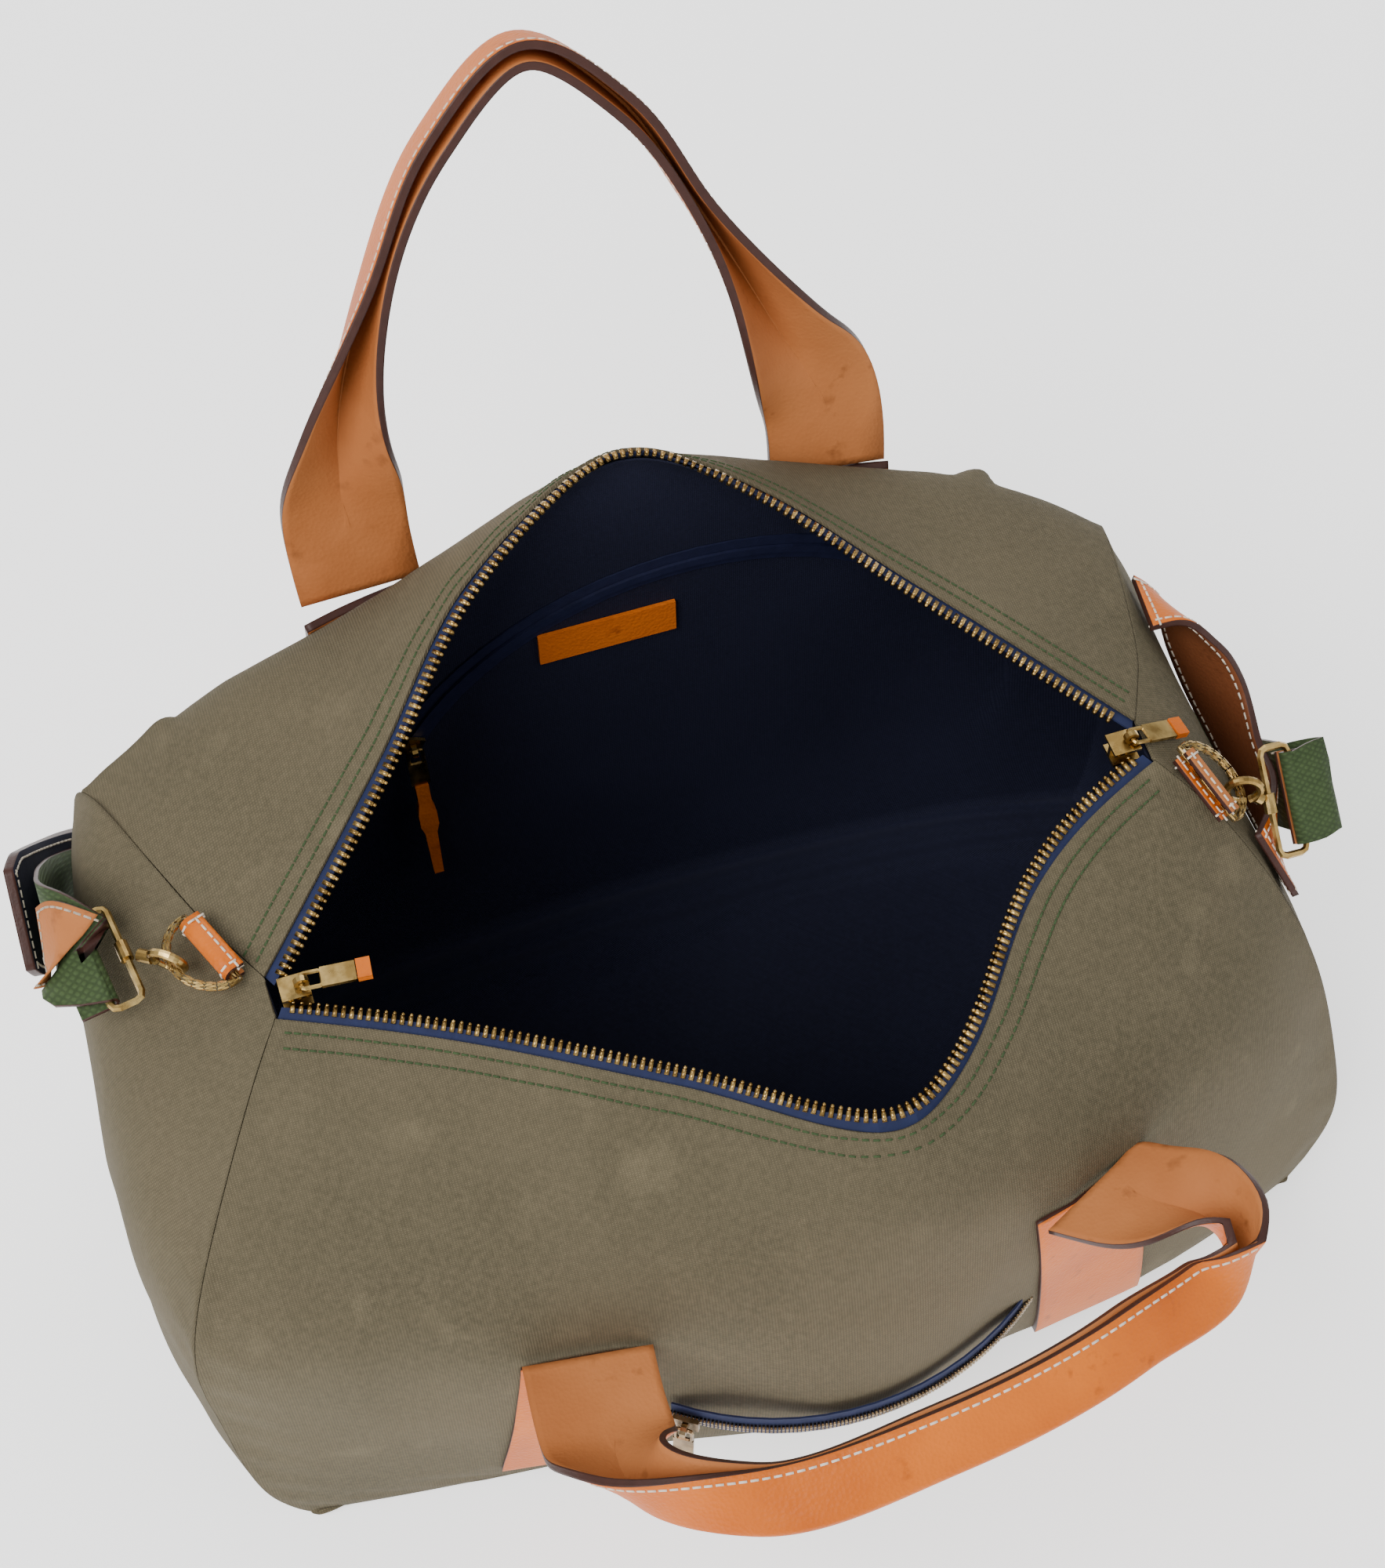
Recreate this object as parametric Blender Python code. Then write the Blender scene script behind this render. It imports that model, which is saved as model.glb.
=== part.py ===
"""Weekender bag: waxed canvas body with an open zipped mouth, lining, leather
handles, a zipped front pocket, an inner pocket and a clip-on shoulder strap.

Frame: origin on the floor under the middle of the body, +X along the length
towards the right-hand end, -Y towards the front, +Z up. Units are metres.
"""
import math

import bmesh
import bpy
import numpy as np
from mathutils import Matrix

# ---------------------------------------------------------------- dimensions
MM = 0.001
BODY_LENGTH = 0.480
BODY_DEPTH = 0.300
BODY_HEIGHT = 0.240

CANVAS = 0.0015
TAPE_DEPTH = 0.0018
TAPE = 0.0008
LINING_DEPTH = 0.0031
LINING = 0.0008
BOARD = 0.0024
BOARD_MARGIN = 0.030
GAP = 0.0004
LINING_REAR_Y = 0.4867 * BODY_DEPTH

TAPE_SHOW = 0.005
TEETH_WIDTH = 0.0024
TEETH_THICK = 0.0032

SLIDER = (0.0115, 0.0105, 0.0014)
SLIDER_THROAT = 0.0054
SLIDER_POST = 0.0020
LUG_THICK = 0.0024
LUG_RADIUS = 0.0030
PIN_RADIUS = 0.0009
PIN_CLEARANCE = 0.0004
PULLER_WIDTH = 0.0085
PULLER_RING = 0.0080
PULLER_PLATE = 0.0125
PULLER_THICK = 0.0016
PULL_TAB = 0.0055

STRAP_WIDTH = 0.051
STRAP_THICK = 0.0035
HANDLE_SPACING = 0.204
ANCHOR_SPLAY = 0.120
ANCHOR_STANDOFF = 0.0015
ANCHOR_FOOT = 0.030
REAR_HINGE_HEIGHT = 0.256
FRONT_HINGE_LEFT_HEIGHT = 0.150
FRONT_HINGE_RIGHT_HEIGHT = 0.172
REAR_ARCH_HEIGHT = 0.207
REAR_LEAN = math.radians(25)
FOLD_RADIUS = 0.0024
END_STATIONS = 6

POCKET_CHORD = 0.155
POCKET_BULGE = 0.026
POCKET_HEIGHT = 0.090
POCKET_CENTRE_X = 0.0055
POCKET_TAPE_WIDTH = 0.016
POCKET_STANDOFF = 0.0006

INNER_ZIP_RADIUS = 0.146
INNER_ZIP_CENTRE = (0.033, 0.093)
INNER_ZIP_START = math.radians(154)
INNER_ZIP_END = math.radians(54)

LABEL = (0.062, 0.0018, 0.019)
LABEL_CENTRE = (-0.002, 0.2050)

RING_BAR = 0.036
RING_WIRE = 0.0019
RING_DEPTH = 0.0165
TAB_LENGTH = 0.030
TAB_THICK = 0.0018

WEBBING_WIDTH = 0.038
WEBBING_THICK = 0.0018
TIP_LENGTH = 0.024
TIP_WIDTH = 0.0385
TIP_LIFT = 0.0010
TIP_THICK = 0.0012
LOOP_WIRE = 0.0015
LOOP_WIDTH = 0.0475
LOOP_DEPTH = 0.0125
HOOK_WIRE = 0.0017
HOOK_EYE = 0.0052
STEM_RADIUS = 0.0026
BOSS_RADIUS = 0.0027
BOSS_LENGTH = 0.0080
STRAP_END = 0.012
PAD_START = 0.064
PAD_LENGTH = 0.180
PAD_THICK = 0.0040
PAD_WIDTH = 0.051
PAD_FLARE = 0.008
ADJUSTER = (0.012, 0.045, 0.0060)
ADJUSTER_X = 0.020
GRAB_WIDTH = 0.034
GRAB_THICK = 0.0030

# ------------------------------------------------------------------ materials
OLIVE = (0.135, 0.125, 0.072)
NAVY = (0.010, 0.012, 0.040)
LEATHER = (0.480, 0.165, 0.045)
BRASS = (0.520, 0.380, 0.140)
WEBBING = (0.055, 0.085, 0.030)
BOARD_GREY = (0.080, 0.080, 0.080)


def material(name, colour, roughness, metallic=0.0):
    """One Principled material for a node."""
    mat = bpy.data.materials.new(name)
    mat.use_nodes = True
    shader = mat.node_tree.nodes["Principled BSDF"]
    shader.inputs["Base Color"].default_value = (*colour, 1.0)
    shader.inputs["Roughness"].default_value = roughness
    shader.inputs["Metallic"].default_value = metallic
    return mat


FINISHES = {
    "canvas": (OLIVE, 0.85, 0.0),
    "navy": (NAVY, 0.9, 0.0),
    "leather": (LEATHER, 0.45, 0.0),
    "brass": (BRASS, 0.35, 1.0),
    "webbing": (WEBBING, 0.8, 0.0),
    "board": (BOARD_GREY, 0.9, 0.0),
}


# ------------------------------------------------------------- mesh building
def add_object(name, bm, finish, pivot=(0, 0, 0), smooth_angle=40):
    """Turn a bmesh in world space into an object whose origin is its pivot."""
    bmesh.ops.recalc_face_normals(bm, faces=bm.faces[:])
    mesh = bpy.data.meshes.new(name)
    bm.to_mesh(mesh)
    bm.free()
    mesh.transform(Matrix.Translation([-c for c in pivot]))
    mesh.shade_smooth()
    mesh.set_sharp_from_angle(angle=math.radians(smooth_angle))
    mesh.materials.append(material(name, *FINISHES[finish]))
    obj = bpy.data.objects.new(name, mesh)
    obj.location = pivot
    bpy.context.collection.objects.link(obj)
    return obj


def slab(name, top, bottom, finish, pivot=(0, 0, 0)):
    """A closed sheet between two grids of points of the same shape."""
    top = np.asarray(top, float)
    bottom = np.asarray(bottom, float)
    rows, cols = top.shape[:2]
    bm = bmesh.new()
    a = [[bm.verts.new(p) for p in row] for row in top]
    b = [[bm.verts.new(p) for p in row] for row in bottom]
    for i in range(rows - 1):
        for j in range(cols - 1):
            bm.faces.new((a[i][j], a[i][j + 1], a[i + 1][j + 1], a[i + 1][j]))
            bm.faces.new((b[i][j], b[i + 1][j], b[i + 1][j + 1], b[i][j + 1]))
    for i in range(rows - 1):
        bm.faces.new((a[i][0], a[i + 1][0], b[i + 1][0], b[i][0]))
        bm.faces.new((a[i + 1][-1], a[i][-1], b[i][-1], b[i + 1][-1]))
    for j in range(cols - 1):
        bm.faces.new((a[0][j + 1], a[0][j], b[0][j], b[0][j + 1]))
        bm.faces.new((a[-1][j], a[-1][j + 1], b[-1][j + 1], b[-1][j]))
    return add_object(name, bm, finish, pivot)


def loft(name, sections, finish, closed=False, pivot=(0, 0, 0)):
    """A closed body through profile loops, joined end to start when closed."""
    bm = bmesh.new()
    loops = [[bm.verts.new(p) for p in loop] for loop in sections]
    pairs = list(zip(loops, loops[1:]))
    if closed:
        pairs.append((loops[-1], loops[0]))
    for low, high in pairs:
        for k in range(len(low)):
            n = (k + 1) % len(low)
            bm.faces.new((low[k], low[n], high[n], high[k]))
    if not closed:
        bm.faces.new(loops[0][::-1])
        bm.faces.new(loops[-1])
    return add_object(name, bm, finish, pivot)


def unit(v):
    """A vector of length one."""
    v = np.asarray(v, float)
    return v / np.linalg.norm(v)


def path_frames(points, normals, closed=False):
    """Tangent, side and normal at every point of a path."""
    points = np.asarray(points, float)
    if closed:
        tangents = np.roll(points, -1, 0) - np.roll(points, 1, 0)
    else:
        tangents = np.gradient(points, axis=0)
    frames = []
    for tangent, normal in zip(tangents, np.asarray(normals, float)):
        t = unit(tangent)
        n = unit(normal - t * (normal @ t))
        frames.append((t, np.cross(t, n), n))
    return frames


def wire(name, points, normal, radius, finish, closed=True, sides=6, pivot=(0, 0, 0)):
    """A round wire along a path that lies roughly across one normal."""
    frames = path_frames(points, [normal] * len(points), closed)
    angles = [2 * math.pi * k / sides for k in range(sides)]
    sections = []
    for point, (_, side, up) in zip(points, frames):
        sections.append([point + radius * (math.cos(a) * side + math.sin(a) * up) for a in angles])
    return loft(name, sections, finish, closed, pivot)


def block(name, centre, axes, size, finish, pivot=(0, 0, 0)):
    """A box of a given size along three axes."""
    x, y, z = [unit(a) * s / 2 for a, s in zip(axes, size)]
    centre = np.asarray(centre, float)
    sections = []
    for end in (-x, x):
        sections.append([centre + end + sy * y + sz * z for sy, sz in ((-1, -1), (1, -1), (1, 1), (-1, 1))])
    return loft(name, sections, finish, False, pivot)


def drum(name, centre, axis, across, radius, length, finish, sides=12, pivot=(0, 0, 0)):
    """A cylinder about an axis."""
    axis = unit(axis)
    y = unit(np.asarray(across, float) - axis * (np.asarray(across, float) @ axis))
    z = np.cross(axis, y)
    centre = np.asarray(centre, float)
    angles = [2 * math.pi * k / sides for k in range(sides)]
    sections = []
    for end in (-length / 2, length / 2):
        sections.append([centre + end * axis + radius * (math.cos(a) * y + math.sin(a) * z) for a in angles])
    return loft(name, sections, finish, False, pivot)


def combine(obj, other, operation):
    """Join or cut one solid by another, which stays hidden."""
    modifier = obj.modifiers.new(operation.lower(), "BOOLEAN")
    modifier.operation = operation
    modifier.solver = "EXACT"
    modifier.object = other
    other.hide_render = True
    other.display_type = "WIRE"


def spline(points, count=None, at=None):
    """A smooth curve through points, spaced by their distance apart."""
    points = np.asarray(points, float)
    steps = np.linalg.norm(np.diff(points[:, :3], axis=0), axis=1)
    knots = np.concatenate([[0], np.cumsum(steps)])
    where = np.linspace(0, knots[-1], count) if at is None else np.asarray(at) * knots[-1]
    return np.array([hermite(points, knots, t) for t in where])


def hermite(points, knots, t):
    """A cubic through points at uneven knots, read at t."""
    widths = np.diff(knots)
    slopes = np.diff(points, axis=0) / widths[:, None]
    i = int(min(max(np.searchsorted(knots, t, side="right") - 1, 0), len(widths) - 1))

    def tangent(k):
        if 0 < k < len(widths):
            before, after = widths[k - 1], widths[k]
            return (slopes[k - 1] * after + slopes[k] * before) / (before + after)
        edge, inner = (0, 1) if k == 0 else (-1, len(widths) - 1)
        return 1.5 * slopes[edge] - 0.5 * tangent(inner)

    h = widths[i]
    s = (t - knots[i]) / h
    return (points[i] * (1 + 2 * s) * (1 - s) ** 2 + tangent(i) * h * s * (1 - s) ** 2
            + points[i + 1] * s * s * (3 - 2 * s) + tangent(i + 1) * h * s * s * (s - 1))


# --------------------------------------------------------------- body outline
# Rows run from the mouth edge to the base edge, columns from the left end seam
# to the right end seam. Millimetres on a body 480 long, 300 deep and 240 high.
OUTLINE_SIZE = (480, 300, 240)
ROW_KNOTS = np.array([0, 0.14, 0.34, 0.60, 0.85, 1.0])
COLUMN_KNOTS = np.array([-1, -0.55, -0.18, 0.12, 0.34, 0.62, 1.0])
FRONT_OUTLINE = (
    ((-182, -20, 247), (-112, -50, 238), (-40, -90, 231), (28, -131, 230),
     (64, -112, 232), (112, -56, 240), (178, -19, 249)),
    ((-203, -50, 234), (-130, -84, 222), (-52, -124, 211), (26, -151, 209),
     (70, -141, 211), (124, -92, 224), (200, -44, 231)),
    ((-240, -106, 195), (-152, -126, 180), (-66, -148, 170), (16, -164, 166),
     (84, -154, 172), (150, -128, 186), (228, -76, 182)),
    ((-245, -116, 120), (-160, -136, 108), (-72, -150, 96), (12, -175, 92),
     (92, -153, 96), (166, -138, 106), (250, -96, 100)),
    ((-238, -121, 38), (-160, -131, 36), (-72, -145, 32), (10, -158, 30),
     (88, -148, 32), (166, -138, 36), (254, -106, 40)),
    ((-226, -120, 5), (-150, -130, 4), (-68, -138, 4), (8, -143, 4),
     (80, -140, 4), (158, -133, 4), (240, -110, 6)),
)
REAR_OUTLINE = (
    ((-182, -1, 247), (-119, 60, 276), (-60, 116, 308), (10, 148, 317),
     (53, 124, 309), (106, 74, 284), (178, 1, 250)),
    ((-200, 34, 246), (-132, 92, 270), (-66, 140, 290), (6, 157, 296),
     (60, 147, 291), (118, 102, 276), (196, 40, 244)),
    ((-232, 112, 238), (-150, 142, 249), (-70, 156, 253), (4, 160, 254),
     (74, 158, 257), (145, 146, 252), (214, 114, 228)),
    ((-244, 126, 130), (-160, 148, 135), (-72, 158, 138), (4, 161, 138),
     (76, 158, 136), (152, 150, 132), (236, 124, 128)),
    ((-242, 124, 38), (-158, 138, 38), (-70, 146, 38), (4, 148, 38),
     (76, 146, 38), (152, 140, 38), (240, 122, 38)),
    ((-232, 118, 5), (-150, 128, 4), (-68, 136, 4), (4, 138, 4),
     (72, 136, 4), (148, 130, 4), (230, 116, 5)),
)
LEFT_BULGE = (0, 3, 11, 17, 22, 14)
RIGHT_BULGE = (0, 0, -2, 3, 12, 12)

SCALE = np.array([BODY_LENGTH / OUTLINE_SIZE[0], BODY_DEPTH / OUTLINE_SIZE[1],
                  BODY_HEIGHT / OUTLINE_SIZE[2]])
OUTLINES = {"front": np.array(FRONT_OUTLINE) * SCALE, "rear": np.array(REAR_OUTLINE) * SCALE}
BULGES = {-1: np.array(LEFT_BULGE) * SCALE[0], 1: np.array(RIGHT_BULGE) * SCALE[0]}

COLUMNS = np.concatenate([[-1, -0.97], np.linspace(-0.92, 0.92, 23), [0.97, 1]])
ROWS = np.array([0, 0.03, 0.08, 0.14, 0.24, 0.34, 0.46, 0.60, 0.73, 0.86, 1.0])
END_STEPS = 8


def skin(side, u, v):
    """A point on the outside of the front or rear canvas."""
    column = [hermite(OUTLINES[side][:, k], ROW_KNOTS, v) for k in range(len(COLUMN_KNOTS))]
    return hermite(np.array(column), COLUMN_KNOTS, u)


def skin_at(side, x, z):
    """The canvas point at a given x and height, and its outward normal."""
    u = 2 * x / BODY_LENGTH
    v = max(1 - z / BODY_HEIGHT, 0.3)
    step = 1e-4
    for _ in range(30):
        point = skin(side, u, v)
        du = (skin(side, u + step, v) - point) / step
        dv = (skin(side, u, v + step) - point) / step
        jacobian = np.array([[du[0], dv[0]], [du[2], dv[2]]])
        miss = np.array([x - point[0], z - point[2]])
        move = np.linalg.solve(jacobian, miss)
        u = float(np.clip(u + 0.7 * move[0], -1, 1))
        v = float(np.clip(v + 0.7 * move[1], 0.02, 1))
    normal = unit(np.cross(du, dv))
    outward = 1 if side == "rear" else -1
    if normal[1] * outward < 0:
        normal = -normal
    return skin(side, u, v), normal


def body_rings():
    """Closed rings of skin points from the mouth down, all the way round."""
    rings = []
    for v in ROWS:
        front = [skin("front", u, v) for u in COLUMNS]
        rear = [skin("rear", u, v) for u in COLUMNS]
        ring = list(front)
        for side, start, stop in ((1, front[-1], rear[-1]), (-1, rear[0], front[0])):
            bulge = np.interp(v, ROW_KNOTS, BULGES[side])
            for k in range(1, END_STEPS):
                w = k / END_STEPS
                out = np.array([side * bulge * 4 * w * (1 - w), 0, 0])
                ring.append(start + (stop - start) * w + out)
            if side == 1:
                ring.extend(rear[::-1])
        rings.append(ring)
    return np.array(rings)


WIDE = len(COLUMNS)
RING = 2 * WIDE + 2 * (END_STEPS - 1)


def base_grid(ring, floor_z):
    """Points across the base, flat at floor_z inside its outer ring."""
    front = ring[:WIDE]
    right = ring[WIDE - 1:WIDE + END_STEPS]
    rear = ring[WIDE + END_STEPS - 1:2 * WIDE + END_STEPS - 1][::-1]
    left = np.concatenate([ring[2 * WIDE + END_STEPS - 2:], ring[:1]])[::-1]
    grid = np.zeros((WIDE, END_STEPS + 1, 3))
    for j in range(WIDE):
        for k in range(END_STEPS + 1):
            a, w = j / (WIDE - 1), k / END_STEPS
            grid[j, k] = ((1 - w) * front[j] + w * rear[j] + (1 - a) * left[k] + a * right[k]
                          - (1 - a) * (1 - w) * front[0] - a * (1 - w) * front[-1]
                          - (1 - a) * w * rear[0] - a * w * rear[-1])
    grid[1:-1, 1:-1, 2] = floor_z
    return grid


def surface_arrays(rings, floor_z):
    """One closed-bottom surface: the points and the quads of walls and base."""
    grid = base_grid(rings[-1], floor_z)
    points = [p for ring in rings for p in ring]
    count = rings.shape[1]
    faces = []
    for i in range(len(rings) - 1):
        for k in range(count):
            n = (k + 1) % count
            faces.append((i * count + k, (i + 1) * count + k, (i + 1) * count + n, i * count + n))
    last = (len(rings) - 1) * count
    index = np.zeros(grid.shape[:2], int)
    for j in range(WIDE):
        for k in range(END_STEPS + 1):
            if k == 0:
                index[j, k] = last + j
            elif k == END_STEPS:
                index[j, k] = last + 2 * WIDE + END_STEPS - 2 - j
            elif j == WIDE - 1:
                index[j, k] = last + WIDE - 1 + k
            elif j == 0:
                index[j, k] = last + RING - k
            else:
                index[j, k] = len(points)
                points.append(grid[j, k])
    for j in range(WIDE - 1):
        for k in range(END_STEPS):
            faces.append((index[j, k], index[j, k + 1], index[j + 1, k + 1], index[j + 1, k]))
    return np.array(points), faces, index


def offset_inwards(points, faces, distance):
    """Every point moved inside by a distance from all the faces round it."""
    normals = []
    for face in faces:
        a, b, c, d = (points[i] for i in face)
        normals.append(unit(np.cross(c - a, d - b) + 1e-15))
    normals = np.array(normals)
    total = np.zeros_like(points)
    for face, normal in zip(faces, normals):
        for i in face:
            total[i] += normal
    total /= np.linalg.norm(total, axis=1)[:, None]
    spread = np.zeros(len(points))
    counts = np.zeros(len(points))
    for face, normal in zip(faces, normals):
        for i in face:
            spread[i] += total[i] @ normal
            counts[i] += 1
    return points - total * (distance / np.maximum(spread / counts, 0.5))[:, None]


class Shell:
    """The body surface at one depth under the outside of the canvas."""

    def __init__(self, points, index):
        self.rings = points[:len(ROWS) * RING].reshape(len(ROWS), RING, 3)
        self.base = points[index]

    def panel(self, name):
        if name == "front":
            return self.rings[:, :WIDE]
        if name == "right":
            return self.rings[:, WIDE - 1:WIDE + END_STEPS]
        if name == "rear":
            return self.rings[:, WIDE + END_STEPS - 1:2 * WIDE + END_STEPS - 1]
        return np.concatenate([self.rings[:, 2 * WIDE + END_STEPS - 2:], self.rings[:, :1]], axis=1)


BODY_POINTS, BODY_FACES, BASE_INDEX = surface_arrays(body_rings(), 0.0)
_first = BODY_FACES[0]
_probe = np.cross(BODY_POINTS[_first[2]] - BODY_POINTS[_first[0]],
                  BODY_POINTS[_first[3]] - BODY_POINTS[_first[1]])
if _probe[1] > 0:
    BODY_FACES = [face[::-1] for face in BODY_FACES]


def shell(depth):
    """The body surface moved inside by a depth."""
    return Shell(offset_inwards(BODY_POINTS, BODY_FACES, depth) if depth else BODY_POINTS, BASE_INDEX)


def trimmed(grid, edges, amount):
    """A grid whose named edge rows or columns are drawn in by a small gap."""
    grid = grid.copy()
    if "left" in edges:
        grid[:, 0] += amount * unit_rows(grid[:, 1] - grid[:, 0])
    if "right" in edges:
        grid[:, -1] += amount * unit_rows(grid[:, -2] - grid[:, -1])
    if "top" in edges:
        grid[0] += amount * unit_rows(grid[1] - grid[0])
    if "bottom" in edges:
        grid[-1] += amount * unit_rows(grid[-2] - grid[-1])
    return grid


def unit_rows(vectors):
    """Each row of an array as a vector of length one."""
    return vectors / np.linalg.norm(vectors, axis=1)[:, None]


# --------------------------------------------------------------- canvas, lining
def canvas_panels():
    """Five sewn canvas panels, each drawn back from its seams."""
    outside, inside = shell(0), shell(CANVAS)
    names = {"front": "front_panel", "right": "right_end_panel",
             "rear": "rear_panel", "left": "left_end_panel"}
    for side, name in names.items():
        edges = ("left", "right", "bottom")
        slab(name, trimmed(outside.panel(side), edges, GAP / 2),
             trimmed(inside.panel(side), edges, GAP / 2), "canvas")
    edges = ("left", "right", "top", "bottom")
    slab("base_panel", trimmed(outside.base, edges, GAP / 2),
         trimmed(inside.base, edges, GAP / 2), "canvas")


def lining():
    """The open-topped liner, its rear wall hanging straight."""
    points = offset_inwards(BODY_POINTS, BODY_FACES, LINING_DEPTH)
    points[:, 1] = np.minimum(points[:, 1], LINING_REAR_Y)
    floor = CANVAS + GAP + BOARD + GAP
    points[:, 2] = np.maximum(points[:, 2], floor)
    inner = offset_inwards(points, BODY_FACES, LINING)
    inner[:, 2] = np.maximum(inner[:, 2], floor + LINING)
    bm = bmesh.new()
    outer_verts = [bm.verts.new(p) for p in points]
    inner_verts = [bm.verts.new(p) for p in inner]
    for face in BODY_FACES:
        bm.faces.new([outer_verts[i] for i in face])
        bm.faces.new([inner_verts[i] for i in face[::-1]])
    for k in range(RING):
        n = (k + 1) % RING
        bm.faces.new((outer_verts[k], outer_verts[n], inner_verts[n], inner_verts[k]))
    add_object("lining", bm, "navy")


def base_board():
    """The stiffener between the base canvas and the lining."""
    inside = shell(CANVAS).base
    low = inside[1:-1, 1:-1].copy()
    middle = low.mean(axis=(0, 1))
    span = np.abs(low - middle).max(axis=(0, 1))[:2]
    low[..., :2] = middle[:2] + (low[..., :2] - middle[:2]) * (1 - BOARD_MARGIN / 2 / span)
    low[..., 2] = CANVAS + GAP
    high = low.copy()
    high[..., 2] += BOARD
    slab("base_board", low[::3, ::2], high[::3, ::2], "board")


# ---------------------------------------------------------------- main zipper
def tape_grid(side, depth):
    """Tape points: sewn edge, canvas edge and free edge, with their direction."""
    skin_rows = shell(0).panel(side)
    rows = shell(depth).panel(side)
    out = unit_rows(skin_rows[0] - skin_rows[1])
    return np.stack([rows[0] + out * TAPE_SHOW, rows[0], rows[1]]), out


def main_zipper():
    """Both tapes with their rows of teeth, left open."""
    tips = {}
    for side in ("front", "rear"):
        top, out = tape_grid(side, TAPE_DEPTH)
        bottom, _ = tape_grid(side, TAPE_DEPTH + TAPE)
        edges = ("left", "right")
        slab("zip_tape_" + side, trimmed(top, edges, GAP), trimmed(bottom, edges, GAP), "navy")
        middle = (top[0] + bottom[0]) / 2
        normal = unit_rows(top[0] - bottom[0])
        inner = middle + out * GAP
        outer = inner + out * TEETH_WIDTH
        half = normal * TEETH_THICK / 2
        keep = slice(1, -1)
        slab("zip_teeth_" + side, np.stack([inner + half, outer + half])[:, keep],
             np.stack([inner - half, outer - half])[:, keep], "brass")
        tips[side] = middle if side == "front" else middle[::-1]
    for name, end, facing in (("left", 0, 1), ("right", -1, -1)):
        meet = (tips["front"][end] + tips["rear"][end]) / 2
        edge = (shell(0).panel("front")[0][end] + shell(0).panel("rear")[0][-1 - end]) / 2
        clear = LINING_DEPTH + LINING + GAP + SLIDER[0] / 2
        centre = np.array([edge[0] + facing * clear, meet[1], meet[2]])
        main_slider(name, centre, facing)


def lug(obj, centre, pin_axis, up):
    """A drilled ear on a slider, for its puller's pin."""
    ear = drum(obj.name + "_ear", centre, pin_axis, up, LUG_RADIUS, LUG_THICK, "brass")
    hole = drum(obj.name + "_hole", centre, pin_axis, up, PIN_RADIUS + PIN_CLEARANCE,
                LUG_THICK * 3, "brass")
    combine(obj, ear, "UNION")
    combine(obj, hole, "DIFFERENCE")


def puller(name, pin, pin_axis, along, finish="brass"):
    """A wire ring through the ear and a plate, swinging about the pin."""
    along = unit(along)
    pin_axis = unit(pin_axis)
    face = np.cross(pin_axis, along)
    half = PULLER_WIDTH / 2 - PIN_RADIUS
    corners = []
    for centre_a, centre_p, start in ((0, half, 0), (PULLER_RING, half, 1),
                                      (PULLER_RING, -half, 2), (0, -half, 3)):
        turn = (1, -1) if start in (1, 2) else (-1, 1)
        bend = 0.0012
        inset = centre_a + (bend if turn[0] < 0 else -bend)
        for angle in (0, math.pi / 4, math.pi / 2):
            swing = angle if start in (0, 2) else math.pi / 2 - angle
            a = inset + turn[0] * bend * math.cos(swing)
            p = math.copysign(abs(centre_p) - bend + bend * math.sin(swing), centre_p)
            corners.append(np.asarray(pin) + along * a + pin_axis * p)
    ring = wire(name, corners, face, PIN_RADIUS, finish, pivot=tuple(pin))
    plate_centre = np.asarray(pin) + along * (PULLER_RING + PULLER_PLATE / 2)
    plate = block(name + "_plate", plate_centre, (along, pin_axis, face),
                  (PULLER_PLATE + PIN_RADIUS, PULLER_WIDTH, PULLER_THICK), finish)
    combine(ring, plate, "UNION")
    return np.asarray(pin) + along * (PULLER_RING + PULLER_PLATE + PIN_RADIUS / 2)


def main_slider(name, centre, facing):
    """A slider that straddles both tape edges, with its puller and tab."""
    length, width, plate = SLIDER
    up = np.array([0, 0, 1.0])
    axes = ((1, 0, 0), (0, 1, 0), (0, 0, 1))
    body = block("slider_" + name, centre, axes, (length, SLIDER_POST, SLIDER_THROAT + plate), "brass")
    for level in (1, -1):
        wing = block("slider_%s_wing%d" % (name, level), centre + up * level * (SLIDER_THROAT + plate) / 2,
                     axes, (length, width, plate), "brass")
        combine(body, wing, "UNION")
    along = {"left": (1, -0.10, 0.02), "right": (0.92, 0.12, -0.33)}[name]
    pin = centre + up * (SLIDER_THROAT / 2 + plate + LUG_RADIUS * 0.7) + np.array([0.003, 0, 0])
    lug(body, pin, (0, 1, 0), up)
    across = np.cross(up, along)
    end = puller("puller_" + name, pin, across, along)
    tip = end + unit(along) * (GAP + PULL_TAB / 2)
    block("puller_tab_" + name, tip, (along, across, np.cross(across, along)),
          (PULL_TAB, PULLER_WIDTH, 0.0030), "leather", tuple(pin))


# -------------------------------------------------------------------- handles
def folded(point, side, normal, fold, thickness=STRAP_THICK, width=STRAP_WIDTH):
    """Both faces of a strap's section, folded lengthwise by an angle each side."""
    arc = FOLD_RADIUS * fold
    reach = width / 2
    steps = (0, 0.5 * arc, arc, arc + 0.5 * (reach - arc), reach)
    if fold < 0.02:
        steps = (0, 0.07 * reach, 0.14 * reach, 0.57 * reach, reach)
    flesh, grain = [], []
    for sign in (-1, 1):
        order = steps[::-1] if sign < 0 else steps[1:]
        for h in order:
            angle = min(h / FOLD_RADIUS, fold)
            b = FOLD_RADIUS * math.sin(angle) + max(h - arc, 0) * math.cos(fold)
            n = FOLD_RADIUS * (1 - math.cos(angle)) + max(h - arc, 0) * math.sin(fold)
            centre = point + sign * b * side + n * normal
            face = math.cos(angle) * normal - sign * math.sin(angle) * side
            flesh.append(centre + face * thickness / 2)
            grain.append(centre - face * thickness / 2)
    return flesh, grain


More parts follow.
